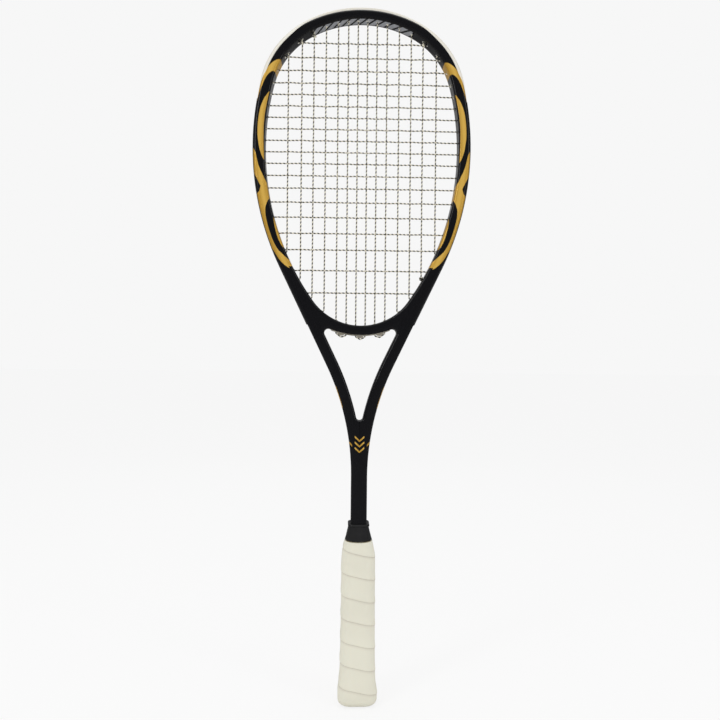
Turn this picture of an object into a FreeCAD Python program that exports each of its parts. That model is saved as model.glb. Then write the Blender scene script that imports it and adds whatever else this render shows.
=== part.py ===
import FreeCAD, Part
import math
import os
from FreeCAD import Vector

# Squash racket, millimetres. It stands on its butt: +Z runs up the handle to the top of the
# head, the hitting faces look along -Y and +Y, and the origin is the middle of the butt's base.

# ---- driving dimensions ----
racket_length = 686.0        # butt to the outside of the bumper, the longest the rules allow
beam_depth = 19.0            # frame section across the string plane
edge_round = 2.4             # rounding of the frame's long edges

# head opening: a crown arc, a shoulder arc, a long side arc and a heel arc, all tangent
strung_half_width = 95.7
widest_below_top = 125.8     # from the top of the opening down to its widest place
side_radius = 262.3
crown_turn = 28.6            # headings in degrees: 0 runs along +X at the top, 90 runs straight down
side_heading = 75.9
arm_heading = 115.7
heel_heading = 125.4

# hollow tube
tube_width_top = 8.4
tube_width_side = 11.2
tube_wall = 1.4
web_wall = 0.7               # half of the wall shared by the two legs in the shaft
throat_radius = 255.0        # outside sweep from the arms into the shaft
shaft_half_width = 7.9
crotch_half_width = 3.2
tube_end_height = 30.0       # lower ends of the two legs, inside the handle

# bridge
bridge_thickness = 9.3
bridge_under_radius = 80.0
bridge_joint = 31.0          # half the distance between the two butt joints
throat_corner = 4.0
bridge_cell_wall = 0.8       # laminate around each string hole in the foam

# outer laminate over both legs
sleeve_wall = 0.9
sleeve_below_crotch = 6.0

# string groove, grommet strips and bumper
groove_half_width = 3.0
groove_depth = 2.2
strip_base = 1.0
strip_web = 1.0
lip_thickness = 0.8
lip_half_width = 4.6
bumper_reach = 2.6           # how far the rails stand off the tube at the top
bumper_side_reach = 1.0      # and on the shoulders
bumper_half_depth = 6.8
bumper_heading = 80.0        # heading at which the bumper ends
strip_gap = 1.5              # between the bumper's end and the side strip
strip_tail = 5.0             # strip past its last barrel
boss_height = 2.0            # pads under the string loops of the bridge strip
bridge_strip_sink = 1.2      # depth of the bridge strip's own groove
bridge_strip_margin = 5.0    # strip past its last barrel
barrel_wall = 0.75
barrel_play = 0.32           # between a string and its barrel
barrel_start = 1.6           # from the bend of the string to the end of the barrel

# strings
string_diameter = 1.25
layer_offset = 0.095 + string_diameter / 2   # mains in front of the string plane, crosses behind
main_places = [4.7, 14.2, 24.2, 36.2, 48.2, 60.0, 73.4]
cross_gaps = [22.4, 14.4, 12.9, 12.4] + [11.4] * 7 + [12.0, 12.4, 13.9, 14.9, 15.9, 16.2, 20.5, 22.1]
bridge_mains = 3             # mains on each side that pass through the bridge
string_inset = 1.8           # bend of a string, inside the edge of the opening
string_lift = 0.375 + string_diameter / 2    # centre line of the loops above the floor of the strip
bend_radius = 1.2 * string_diameter
knot_radius = 0.8 + string_diameter
main_knot_radius = 1.3 * string_diameter     # this knot lies in front of the cross beside it
knot_length = 3.4
loop_step = 9.0              # longest straight stretch of a loop in the groove
knot_drop = 0.3              # from the bend of the main to the knot tied round it
barrel_bore = string_diameter / 2 + barrel_play
barrel_radius = barrel_bore + barrel_wall
tie_barrel_bore = layer_offset + string_diameter / 2 + barrel_play / 2
tie_barrel_radius = tie_barrel_bore + barrel_wall

# handle
pallet_half_width = shaft_half_width + 7.2
pallet_half_depth = beam_depth / 2 + 3.1
pallet_top_half_width = shaft_half_width + 4.3
pallet_top_half_depth = beam_depth / 2 + 2.5
pallet_round = 8.0
pallet_top = 161.0
pallet_taper = 19.0          # length of the thinner top end
fit_gap = 0.05
cap_height = 24.0
cap_wall = 1.6
cap_floor = 4.0
cap_flare_width = pallet_half_width + 2.8
cap_flare_depth = pallet_half_depth + 2.6
cap_flare_height = 12.0
cap_edge_round = 3.4
grip_thickness = 1.8
grip_start = 2.6             # lower edge of the grip above the base
tape_width = 9.0
tape_thickness = 0.4
plug_length = 9.0
staple_width = 10.0
staple_leg = 5.0
staple_wire = 0.9

# rubber collar
collar_height = 16.5
collar_wall = 1.8
collar_bead = 0.7
collar_bead_height = 2.4
collar_foot_width = pallet_top_half_width + 1.1
collar_foot_depth = pallet_top_half_depth + 1.3
collar_clearance = 0.08
collar_gap = 0.3             # above the end of the grip


def direction(heading):
    """Outward normal of a line that runs at this heading."""
    angle = math.radians(heading)
    return math.sin(angle), math.cos(angle)


def mirrored(runs):
    """The same runs on the other side of the racket's centre line, in the other order."""
    flip = [[(-x, z) for x, z in run] for run in runs]
    return [run[::-1] for run in flip[::-1]]


class Outline:
    """Right-hand half of a tangent outline, from the top centre downwards.

    An arc is (centre x, centre z, radius, first heading, last heading); its radius is negative
    where its centre lies outside. A line is (x, z, length, heading, None).
    """

    def __init__(self, pieces):
        self.pieces = pieces
        self.lengths = []
        for first, second, size, start, stop in pieces:
            turned = 1.0 if stop is None else abs(math.radians(stop - start))
            self.lengths.append(abs(size) * turned)
        self.length = sum(self.lengths)

    def place(self, along, out=0.0):
        """Point at a distance along the outline, moved outwards."""
        sign = -1.0 if along < 0 else 1.0
        rest = min(abs(along), self.length)
        for piece, length in zip(self.pieces, self.lengths):
            if rest <= length or piece is self.pieces[-1]:
                break
            rest -= length
        first, second, size, start, stop = piece
        if stop is None:
            across, up = direction(start)
            return sign * (first + rest * up + out * across), second - rest * across + out * up
        heading = start + (stop - start) * rest / length
        across, up = direction(heading)
        return sign * (first + (size + out) * across), second + (size + out) * up

    def runs(self, begin, end, out=0.0):
        """Straight runs (two points) and arcs (three points) between two places."""
        if begin > end:
            return [run[::-1] for run in self.runs(end, begin, out)[::-1]]
        if end <= 0:
            return mirrored(self.runs(-end, -begin, out))
        if begin < 0:
            return self.runs(begin, 0, out) + self.runs(0, end, out)
        found = []
        passed = 0.0
        for piece, length in zip(self.pieces, self.lengths):
            low = max(begin, passed)
            high = min(end, passed + length)
            passed += length
            if high - low < 1e-6:
                continue
            ends = [self.place(low + 1e-9, out), self.place(high - 1e-9, out)]
            if piece[4] is not None:
                ends.insert(1, self.place((low + high) / 2, out))
            found.append(ends)
        return found

    def offset_of(self, x, z):
        """How far a point lies outside the outline."""
        x = abs(x)
        best = None
        for first, second, size, start, stop in self.pieces:
            if stop is None:
                across, up = direction(start)
                along = (x - first) * up - (z - second) * across
                if -1e-6 <= along <= size + 1e-6:
                    out = (x - first) * across + (z - second) * up
                    best = out if best is None or abs(out) < abs(best) else best
                continue
            sign = math.copysign(1.0, size)
            heading = math.degrees(math.atan2(sign * (x - first), sign * (z - second)))
            if min(start, stop) - 1e-6 <= heading <= max(start, stop) + 1e-6:
                out = sign * math.hypot(x - first, z - second) - size
                best = out if best is None or abs(out) < abs(best) else best
        return best

    def along_where(self, test, low, high):
        """Place along the outline where test(x, z) changes from true to false."""
        for _ in range(50):
            middle = (low + high) / 2
            if test(*self.place(middle)):
                low = middle
            else:
                high = middle
        return (low + high) / 2


def crown_and_shoulder(top, side_centre, radius):
    """Radii of the two arcs that join the top centre to the side arc."""
    ax, az = direction(crown_turn)
    bx, bz = direction(side_heading)
    reach = side_centre[0] + radius * bx
    drop = side_centre[1] + radius * bz - top
    whole = ax * (bz - az) - (az - 1) * (bx - ax)
    crown = (reach * (bz - az) - drop * (bx - ax)) / whole
    shoulder = (ax * drop - (az - 1) * reach) / whole
    return crown, shoulder


def head_arcs(top, side_centre, radius):
    """Crown and shoulder arcs of an outline around the head."""
    crown, shoulder = crown_and_shoulder(top, side_centre, radius)
    ax, az = direction(crown_turn)
    hub = (crown - shoulder) * ax, top - crown + (crown - shoulder) * az
    return [(0.0, top - crown, crown, 0.0, crown_turn),
            (hub[0], hub[1], shoulder, crown_turn, side_heading)]


# ---- outlines ----
tube_top = racket_length - bumper_reach
opening_top = tube_top - tube_width_top
side_centre = (strung_half_width - side_radius, opening_top - widest_below_top)
outer_radius = side_radius + tube_width_side

ax, az = direction(heel_heading)
heel_x = side_centre[0] + side_radius * ax
heel_radius = heel_x / ax
heel_centre = side_centre[1] + side_radius * az - heel_radius * az
opening_bottom = heel_centre - heel_radius
opening = Outline(head_arcs(opening_top, side_centre, side_radius)
                  + [(*side_centre, side_radius, side_heading, heel_heading),
                     (0.0, heel_centre, heel_radius, heel_heading, 180.0)])

ax, az = direction(arm_heading)
arm_x = side_centre[0] + outer_radius * ax
arm_z = side_centre[1] + outer_radius * az
sweep = throat_radius * (1 - ax)
arm_length = (arm_x - shaft_half_width - sweep) / -az
sweep_x = arm_x + arm_length * az
sweep_z = arm_z - arm_length * ax
shaft_top = sweep_z + throat_radius * az
tube_line = Outline(head_arcs(tube_top, side_centre, outer_radius)
                    + [(*side_centre, outer_radius, side_heading, arm_heading),
                       (arm_x, arm_z, arm_length, arm_heading, None),
                       (sweep_x + throat_radius * ax, sweep_z + throat_radius * az,
                        -throat_radius, arm_heading, 90.0),
                       (shaft_half_width, shaft_top, shaft_top - tube_end_height, 90.0, None)])
bumper_line = Outline(head_arcs(racket_length, side_centre, outer_radius + bumper_side_reach)
                      + [(*side_centre, outer_radius + bumper_side_reach, side_heading, arm_heading)])

bridge_bottom = opening_bottom - bridge_thickness
under_centre = bridge_bottom + bridge_under_radius


def plate(runs, low, high):
    """Solid between two depths over a closed loop of runs; gaps are closed by straight edges."""
    edges = []
    for run, following in zip(runs, runs[1:] + runs[:1]):
        points = [Vector(x, low, z) for x, z in run]
        if len(points) == 3:
            edges.append(Part.Arc(*points).toShape())
        else:
            edges.append(Part.LineSegment(*points).toShape())
        start = Vector(following[0][0], low, following[0][1])
        if (start - points[-1]).Length > 1e-4:
            edges.append(Part.LineSegment(points[-1], start).toShape())
    face = Part.Face(Part.Wire(Part.__sortEdges__(edges)))
    return face.extrude(Vector(0, high - low, 0))


def band(line, begin, end, inside, outside, low, high):
    """Strip that follows an outline between two places and two offsets."""
    return plate(line.runs(begin, end, inside) + line.runs(end, begin, outside), low, high)


def block(x0, x1, y0, y1, z0, z1):
    return Part.makeBox(x1 - x0, y1 - y0, z1 - z0, Vector(x0, y0, z0))


def fused(shapes):
    whole = shapes[0].multiFuse(shapes[1:]) if len(shapes) > 1 else shapes[0]
    return whole.removeSplitter()


def both_sides(shape):
    """A right-hand shape and its mirror image."""
    return [shape, shape.mirror(Vector(0, 0, 0), Vector(1, 0, 0))]


def long_edges(shape, depth):
    """Edges that lie in the frame's front or back face."""
    found = []
    for edge in shape.Edges:
        box = edge.BoundBox
        flat = box.YLength < 1e-4 and abs(abs(box.YMin) - depth) < 1e-4
        if flat and box.ZMax > tube_end_height + 1e-3:
            found.append(edge)
    return found


# ---- where each string bends and which way its hole runs ----
def meet(start, way, line, out):
    """Point where a ray reaches an outline at an offset."""
    low, high = 0.0, 60.0
    for _ in range(50):
        middle = (low + high) / 2
        offset = line.offset_of(start[0] + way[0] * middle, start[1] + way[1] * middle)
        if offset is None or offset < out:
            low = middle
        else:
            high = middle
    return start[0] + way[0] * low, start[1] + way[1] * low


def from_middle(start, way):
    """Point where a string's own line reaches the edge of the opening."""
    low, high = 0.0, 1.2 * (opening_top - opening_bottom)
    for _ in range(60):
        middle = (low + high) / 2
        offset = opening.offset_of(start[0] + way[0] * middle, start[1] + way[1] * middle)
        if offset < 0:
            low = middle
        else:
            high = middle
    return start[0] + way[0] * low, start[1] + way[1] * low


def normal_at(x, z):
    """Outward direction of the opening's edge nearest to a point on it."""
    step = 0.01
    slope_x = opening.offset_of(abs(x) + step, z) - opening.offset_of(abs(x) - step, z)
    slope_z = opening.offset_of(abs(x), z + step) - opening.offset_of(abs(x), z - step)
    size = math.hypot(slope_x, slope_z)
    return math.copysign(slope_x / size, x), slope_z / size


def unit(x, z):
    size = math.hypot(x, z)
    return x / size, z / size


loop_offset = -groove_depth + strip_base + string_lift


class StringEnd:
    """One end of one string run: its bend, the way its hole runs and where it comes out."""

    def __init__(self, middle, way, lean):
        edge = from_middle(middle, way)
        self.bend = (edge[0] - way[0] * string_inset, edge[1] - way[1] * string_inset)
        out = normal_at(*edge)
        self.way = unit(way[0] * (1 - lean) + out[0] * lean, way[1] * (1 - lean) + out[1] * lean)
        self.exit = meet(self.bend, self.way, tube_line, loop_offset)

    def aim(self, way):
        self.way = way
        self.exit = meet(self.bend, self.way, tube_line, loop_offset)
        return self


middle_height = side_centre[1]
main_tops = []
main_bottoms = []
for place in main_places:
    main_tops.append(StringEnd((place, middle_height), (0, 1), 0.5))
    main_bottoms.append(StringEnd((place, middle_height), (0, -1), 1.0))
for end in main_bottoms[:bridge_mains]:
    end.way = (0, -1)
    reach = math.sqrt(bridge_under_radius ** 2 - end.bend[0] ** 2)
    end.exit = (end.bend[0], under_centre - reach)
main_bottoms[bridge_mains].aim(direction(arm_heading))

cross_heights = []
height = opening_top
for gap in cross_gaps:
    height -= gap
    cross_heights.append(height)
cross_ends = [StringEnd((0, height), (1, 0), 0.5) for height in cross_heights]
tie_top = main_tops[4]       # the cross string's first end is tied off on this main, on the left
tie_bottom = main_bottoms[5]  # and its last end on this one, on the right


# ---- frame ----
def silhouette():
    edge = tube_line.length
    return plate(tube_line.runs(-edge, edge), -beam_depth / 2, beam_depth / 2)


def throat_opening():
    """Space between the two arms, under the bridge."""
    arm_begin = sum(tube_line.lengths[:3])
    low, high = arm_begin, tube_line.length
    for _ in range(50):
        middle = (low + high) / 2
        x, z = tube_line.place(middle, -tube_width_side)
        low, high = (middle, high) if x > crotch_half_width else (low, middle)
    crotch = low
    low, high = arm_begin - 40.0, crotch
    for _ in range(50):
        middle = (low + high) / 2
        x, z = tube_line.place(middle, -tube_width_side)
        above = math.hypot(x, z - under_centre) < bridge_under_radius
        low, high = (middle, high) if above else (low, middle)
    corner = low
    right = tube_line.runs(corner, crotch, -tube_width_side)
    foot = right[-1][-1]
    level = tube_line.place(crotch, 0.0)
    out = unit(level[0] - foot[0], level[1] - foot[1])
    radius = foot[0] / out[0]
    floor = foot[1] - radius * out[1] - radius
    bottom = [foot, (0.0, floor), (-foot[0], foot[1])]
    head = right[0][0]
    under = [(-head[0], head[1]), (0.0, bridge_bottom), (head[0], head[1])]
    shape = plate(right + [bottom] + mirrored(right) + [under], -beam_depth, beam_depth)
    corners = []
    for edge in shape.Edges:
        box = edge.BoundBox
        if box.YLength > beam_depth and abs(abs(box.XMin) - head[0]) < 1e-3:
            corners.append(edge)
    return shape.makeFillet(throat_corner, corners), floor


def head_opening():
    edge = opening.length
    return plate(opening.runs(-edge, edge), -beam_depth, beam_depth)


def cavity():
    """Inside of the hollow tube: over the head, down both arms and out of the legs' ends."""
    depth = beam_depth / 2 - tube_wall
    groove_end = strip_end + strip_tail
    upper_out = -groove_depth - tube_wall
    arms = sum(tube_line.lengths[:3])
    hoop = plate(opening.runs(-opening_arm, opening_arm, tube_wall)
                 + tube_line.runs(arms, -arms, upper_out), -depth, depth)
    arm = band(tube_line, arms - 1.0, groove_end, -tube_width_side + tube_wall, upper_out, -depth, depth)
    leg = band(tube_line, groove_end - 1.0, tube_line.length,
               -tube_width_side + tube_wall, -tube_wall, -depth, depth)
    end = block(web_wall, shaft_half_width - tube_wall, -depth, depth,
                tube_end_height - 1.0, tube_end_height + 1.0)
    side = arm.fuse([leg, end]).common(block(web_wall, strung_half_width * 2, -depth, depth,
                                             0, racket_length))
    return hoop.fuse(both_sides(side))


def hole(end, radius, depth_place, begin, reach, side):
    """Cylinder along a string's hole."""
    start = Vector(side * (end.bend[0] + end.way[0] * begin), depth_place, end.bend[1] + end.way[1] * begin)
    return Part.makeCylinder(radius, reach - begin, start, Vector(side * end.way[0], 0, end.way[1]))


def reach_of(end):
    return math.hypot(end.exit[0] - end.bend[0], end.exit[1] - end.bend[1])


def string_ends():
    """Every hole of the racket: its end, its depth, its side and whether two strings share it."""
    found = []
    for ends, depth_place in ((main_tops, -layer_offset), (main_bottoms, -layer_offset),
                              (cross_ends, layer_offset)):
        for end in ends:
            for side in (-1, 1):
                shared = (end is tie_top and side < 0) or (end is tie_bottom and side > 0)
                found.append((end, 0.0 if shared else depth_place, side, shared))
    return found


def frame_body():
    """Whole moulded outline before it is parted into hairpin and bridge."""
    body = silhouette().cut(head_opening()).cut(throat)
    return body.makeFillet(edge_round, long_edges(body, beam_depth / 2))


def bridge_zone():
    return block(-bridge_joint, bridge_joint, -beam_depth, beam_depth,
                 bridge_bottom - 2.0, heel_centre)


def bridge_core():
    """Foam between the walls of the bridge, in the cells between its string holes."""
    depth = beam_depth / 2 - tube_wall
    low = bridge_strip_sink + tube_wall
    edge = bridge_joint
    under = bridge_floor(-low, edge)
    reach = math.sqrt((heel_radius + tube_wall) ** 2 - edge ** 2)
    over = [(edge, heel_centre - reach), (0.0, opening_bottom - tube_wall), (-edge, heel_centre - reach)]
    cells = [plate([under, over], -depth, depth)]
    wall = barrel_radius + bridge_cell_wall
    for place in main_places[:bridge_mains]:
        for side in (-1, 1):
            x = side * place
            cells[0] = cells[0].cut(block(x - wall, x + wall, -beam_depth, beam_depth, 0, racket_length))
    return cells[0]


# ---- grommets ----
def barrels(ends):
    """Barrels and bores of one strip, as two lists of solids."""
    solids = []
    bores = []
    for end, depth_place, side, shared in ends:
        reach = reach_of(end)
        radius = tie_barrel_radius if shared else barrel_radius
        bore = tie_barrel_bore if shared else barrel_bore
        solids.append(hole(end, radius, depth_place, barrel_start, reach, side))
        bores.append(hole(end, bore, depth_place, -1.0, reach + 3.0, side))
    return solids, bores


def channel(begin, end, lip_line, lip_out, lip_depth):
    """Floor, two webs and two rails of a strip that sits in the outside groove."""
    parts = [band(tube_line, begin, end, -groove_depth, -groove_depth + strip_base,
                  -groove_half_width, groove_half_width)]
    for side in (-1, 1):
        inner, outer = sorted((side * (groove_half_width - strip_web), side * groove_half_width))
        parts.append(band(tube_line, begin, end, -groove_depth, 0.3, inner, outer))
        inner, outer = sorted((side * (groove_half_width - strip_web), side * lip_depth))
        parts.append(plate(tube_line.runs(begin, end) + lip_line(end, begin, lip_out), inner, outer))
    return parts


def strip(begin, end, lip_line, lip_out, lip_depth, ends):
    floor_line = tube_line.runs(-tube_line.length, tube_line.length, -groove_depth + strip_base)
    inside = plate(floor_line, -beam_depth, beam_depth)
    solids, bores = barrels(ends)
    trimmed = [solid.common(inside) for solid in solids]
    shape = fused(channel(begin, end, lip_line, lip_out, lip_depth) + trimmed)
    return shape.cut(bores)


def bridge_floor(out, reach=main_places[bridge_mains - 1] + bridge_strip_margin):
    """Underside of the bridge over the strip's width, moved downwards."""
    radius = bridge_under_radius + out
    drop = math.sqrt(radius ** 2 - reach ** 2)
    return [(-reach, under_centre - drop), (0.0, under_centre - radius), (reach, under_centre - drop)]


def bridge_loops():
    """The pairs of mains whose loops run under the bridge."""
    pairs = [(-main_places[0], main_places[0])]
    for first in range(1, bridge_mains, 2):
        pairs.append((main_places[first], main_places[first + 1]))
        pairs.append((-main_places[first + 1], -main_places[first]))
    return pairs


def under_height(x, out=0.0):
    return under_centre - math.sqrt((bridge_under_radius + out) ** 2 - x ** 2)


def bridge_strip():
    depth = groove_half_width
    floor = plate([bridge_floor(lip_thickness), bridge_floor(-bridge_strip_sink)[::-1]], -depth, depth)
    lips = plate([bridge_floor(lip_thickness), bridge_floor(0.0)[::-1]], -lip_half_width, lip_half_width)
    bosses = []
    for first, last in bridge_loops():
        inner, outer = first + barrel_bore, last - barrel_bore
        middle = (first + last) / 2
        crest = under_height(middle, lip_thickness + boss_height)
        foot = (inner, under_height(inner, 0.0)), (middle, crest), (outer, under_height(outer, 0.0))
        bosses.append(plate([list(foot)], -depth, depth))
    solids = []
    bores = []
    for end in main_bottoms[:bridge_mains]:
        for side in (-1, 1):
            reach = end.bend[1] - under_height(end.bend[0], 0.2)
            solids.append(hole(end, barrel_radius, -layer_offset, barrel_start, reach, side))
            bores.append(hole(end, barrel_bore, -layer_offset, -1.0, reach + 6.0, side))
    return fused([floor, lips] + bosses + solids).cut(bores)


# ---- strings ----
def rounded_wire(points):
    """Wire through points in space with every corner rounded by a tangent arc."""
    corners = [Vector(*point) for point in points]
    edges = []
    last = corners[0]
    for before, corner, after in zip(corners, corners[1:], corners[2:]):
        back = (before - corner)
        ahead = (after - corner)
        turn = math.pi - back.getAngle(ahead)
        if turn < 1e-3:
            continue
        room = 0.45 * min(back.Length, ahead.Length)
        cut = min(bend_radius * math.tan(turn / 2), room)
        radius = cut / math.tan(turn / 2)
        back.normalize()
        ahead.normalize()
        start = corner + back * cut
        stop = corner + ahead * cut
        bisector = back + ahead
        bisector.normalize()
        centre_distance = math.hypot(radius, cut)
        middle = corner + bisector * (centre_distance - radius)
        edges.append(Part.LineSegment(last, start).toShape())
        edges.append(Part.Arc(start, middle, stop).toShape())
        last = stop
    edges.append(Part.LineSegment(last, corners[-1]).toShape())
    return Part.Wire(edges)


def swept(points, radius):
    """Round rod along a rounded wire."""
    wire = rounded_wire(points)
    start = Vector(*points[0])
    way = Vector(*points[1]) - start
    circle = Part.makeCircle(radius, start, way)
    circle.rotate(start, way, 90)        # its seam lies off the plane the rod bends in
    profile = Part.Wire(circle)
    pipe = Part.BRepOffsetAPI.MakePipeShell(wire)
    pipe.setBiNormalMode(Vector(0, 1, 0))
    pipe.add(profile)
    pipe.build()
    pipe.makeSolid()
    return pipe.shape()


def at_depth(points, depth_place, side=1):
    return [(side * x, depth_place, z) for x, z in points]


def groove_points(start, stop):
    """Middle points of a long loop, so that it follows the groove."""
    chord = math.hypot(stop[0] - start[0], stop[1] - start[1])
    count = int(chord // loop_step)
    points = []
    for step in range(1, count + 1):
        share = step / (count + 1)
        x = start[0] + (stop[0] - start[0]) * share
        z = start[1] + (stop[1] - start[1]) * share
        lift = loop_offset - tube_line.offset_of(x, z)
        nx, nz = normal_at(x, z)
        points.append((x + nx * lift, z + nz * lift))
    return points


def main_route():
    """Whole route of the main string, from its tail on the left to its tail on the right."""
    last = len(main_places) - 1
    tail = unit(main_tops[last].exit[0] - main_tops[last - 1].exit[0],
                main_tops[last].exit[1] - main_tops[last - 1].exit[1])
    short = 2.2 * string_diameter
    stop = main_tops[last - 1].exit
    right = []
    for index in range(len(main_places)):
        top = [main_tops[index].bend, main_tops[index].exit]
        bottom = [main_bottoms[index].bend, main_bottoms[index].exit]
        if index < bridge_mains:
            x = main_bottoms[index].exit[0]
            bottom = [main_bottoms[index].bend,
                      (x, under_height(x, lip_thickness + string_diameter / 2 + 0.4))]
        goes_up = index % 2 == 0
        run = bottom[::-1] + top if goes_up else top[::-1] + bottom
        if right:
            right += groove_points(right[-1], run[0]) if crosses_groove(index, goes_up) else []
            if not crosses_groove(index, goes_up):
                right.append(loop_crest(right[-1], run[0]))
        right += run
    right += groove_points(right[-1], stop)
    right.append((stop[0] + tail[0] * short, stop[1] + tail[1] * short))
    left = [(-x, z) for x, z in right[::-1]]
    return left + [loop_crest(left[-1], right[0])] + right


def crosses_groove(index, goes_up):
    """Whether the loop before this main runs in the hoop's outside groove."""
    return not goes_up or index > bridge_mains


def loop_crest(start, stop):
    """Middle of a loop that runs over a boss of the bridge strip."""
    middle = (start[0] + stop[0]) / 2
    return middle, under_height(middle, lip_thickness + boss_height + string_diameter / 2 + 0.9)


def inside_knot(end):
    """Where a string that is tied off at this hole ends, in the middle of its knot."""
    return end.bend[0] - end.way[0] * knot_length / 2, end.bend[1] - end.way[1] * knot_length / 2


def cross_route():
    """Whole route of the cross string, from the top left to the bottom right."""
    first, last = inside_knot(tie_top), inside_knot(tie_bottom)
    points = [(-first[0], first[1]), (-tie_top.exit[0], tie_top.exit[1])]
    side = -1
    for end in cross_ends:
        begin = [(side * end.exit[0], end.exit[1]), (side * end.bend[0], end.bend[1])]
        finish = [(-side * end.bend[0], end.bend[1]), (-side * end.exit[0], end.exit[1])]
        points += signed_groove(points[-1], begin[0]) + begin + finish
        side = -side
    points += signed_groove(points[-1], (tie_bottom.exit[0], tie_bottom.exit[1]))
    return points + [tie_bottom.exit, last]


def signed_groove(start, stop):
    side = math.copysign(1.0, start[0])
    inner = groove_points((abs(start[0]), start[1]), (abs(stop[0]), stop[1]))
    return [(side * x, z) for x, z in inner]


def knot(end, side, downwards, radius, depth_place):
    """Bead of a tie-off knot on a main, just inside the frame."""
    x, z = side * end.bend[0], end.bend[1]
    start = z - knot_drop if downwards else z + knot_drop
    way = Vector(0, 0, -1 if downwards else 1)
    bead = Part.makeCylinder(radius, knot_length, Vector(x, depth_place, start), way)
    rims = [edge for edge in bead.Edges if edge.BoundBox.ZLength < 1e-6]
    return bead.makeFillet(0.45 * radius, rims)


def main_string():
    depth = -layer_offset
    rod = swept(at_depth(main_route(), depth), string_diameter / 2)
    clear = string_diameter / 2 - layer_offset + fit_gap
    front = -clear - main_knot_radius
    beads = [knot(main_tops[-2], side, True, main_knot_radius, front) for side in (-1, 1)]
    return fused([rod] + beads)


def cross_string():
    rod = swept(at_depth(cross_route(), layer_offset), string_diameter / 2)
    beads = [knot(tie_top, -1, True, knot_radius, 0.0), knot(tie_bottom, 1, False, knot_radius, 0.0)]
    whole = fused([rod] + beads)
    passing = string_diameter / 2 + fit_gap
    mains = []
    for end, side in ((tie_top, -1), (tie_bottom, 1)):
        x, z = side * end.bend[0], end.bend[1]
        mains.append(Part.makeCylinder(passing, 16.0, Vector(x, -layer_offset, z - 8.0)))
        mains.append(hole(end, passing, -layer_offset, -1.0, 4.0, side))
    return whole.cut(mains)


# ---- handle ----
def rounded_section(half_width, half_depth, corner, height):
    """Closed wire: a rectangle with round corners, at a height."""
    corner = min(corner, half_width - 0.5, half_depth - 0.5)
    flat_x = half_width - corner
    flat_y = half_depth - corner
    slant = corner * math.sqrt(0.5)
    edges = []
    for sx, sy in ((1, 1), (-1, 1), (-1, -1), (1, -1)):
        start = Vector(sx * half_width, sy * flat_y, height)
        middle = Vector(sx * (flat_x + slant), sy * (flat_y + slant), height)
        stop = Vector(sx * flat_x, sy * half_depth, height)
        ends = (start, middle, stop) if sx * sy > 0 else (stop, middle, start)
        edges.append(Part.Arc(*ends).toShape())
    joined = []
    for edge, following in zip(edges, edges[1:] + edges[:1]):
        joined.append(edge)
        joined.append(Part.LineSegment(edge.Vertexes[-1].Point, following.Vertexes[0].Point).toShape())
    return Part.Wire(Part.__sortEdges__(joined))


def handle_form(grow, stations):
    """Solid through (height, half width, half depth, corner) stations, grown on every side."""
    wires = [rounded_section(width + grow, depth + grow, corner + grow, height)
             for height, width, depth, corner in stations]
    return Part.makeLoft(wires, True, True)


def core_stations():
    """Outside of pallets and butt cap together: what the grip is wound on."""
    taper = pallet_top - pallet_taper
    return [(0.0, cap_flare_width - cap_edge_round - 4.5, cap_flare_depth - cap_edge_round - 4.5, pallet_round),
            (cap_edge_round * 0.4, cap_flare_width - cap_edge_round + 1.0,
             cap_flare_depth - cap_edge_round + 1.0, pallet_round),
            (cap_edge_round + 1.6, cap_flare_width, cap_flare_depth, pallet_round + 1.0),
            (cap_flare_height, cap_flare_width, cap_flare_depth, pallet_round + 1.0),
            (cap_height, pallet_half_width + 1.1, pallet_half_depth + 0.8, pallet_round),
            (cap_height + 26.0, pallet_half_width + 0.2, pallet_half_depth, pallet_round),
            (taper, pallet_half_width - 0.1, pallet_half_depth - 0.2, pallet_round),
            (pallet_top, pallet_top_half_width, pallet_top_half_depth, pallet_round)]


def shaft_prism(grow, low, high):
    """Outside of the shaft as a straight prism with rounded edges."""
    wires = rounded_section(shaft_half_width + grow, beam_depth / 2 + grow, edge_round + grow, low)
    return Part.Face(wires).extrude(Vector(0, 0, high - low))


def pallet_core():
    inside = handle_form(0.0, core_stations())
    seat = handle_form(-cap_wall, core_stations())
    lower = seat.common(block(-60, 60, -60, 60, cap_floor, cap_height))
    upper = inside.common(block(-60, 60, -60, 60, cap_height, pallet_top + 1))
    return lower.fuse(upper).cut(shaft_prism(0.0, tube_end_height, racket_length))


def butt_cap():
    outside = handle_form(0.0, core_stations()).common(block(-60, 60, -60, 60, 0, cap_height))
    seat = handle_form(-cap_wall, core_stations()).common(block(-60, 60, -60, 60, cap_floor, cap_height + 1))
    return outside.cut(seat)


def staple(side):
    """Wire staple through the butt cap's wall into a pallet, on the front or the back."""
    face = cap_flare_depth
    height = cap_flare_height - 2.0
    half = staple_width / 2
    crown = block(-half, half, face - staple_wire, face, height, height + staple_wire)
    legs = []
    for place in (-half, half - staple_wire):
        legs.append(block(place, place + staple_wire, face - staple_leg, face, height, height + staple_wire))
    whole = fused([crown] + legs)
    if side < 0:
        whole = whole.mirror(Vector(0, 0, 0), Vector(0, 1, 0))
    return whole


def grip_wrap():
    stations = core_stations()
    sleeve = handle_form(grip_thickness, stations).cut(handle_form(0.0, stations))
    return sleeve.common(block(-60, 60, -60, 60, grip_start, pallet_top))


def finishing_tape():
    """Tape round the shaft that holds the last turn of the grip, hidden by the collar."""
    low, high = pallet_top, pallet_top + tape_width
    return shaft_prism(tape_thickness, low, high).cut(shaft_prism(0.0, low - 1, high + 1))


def leg_plug():
    """Foam plug in the open end of the right-hand leg."""
    depth = beam_depth / 2 - tube_wall
    return block(web_wall, shaft_half_width - tube_wall, -depth, depth,
                 tube_end_height, tube_end_height + plug_length)


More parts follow.
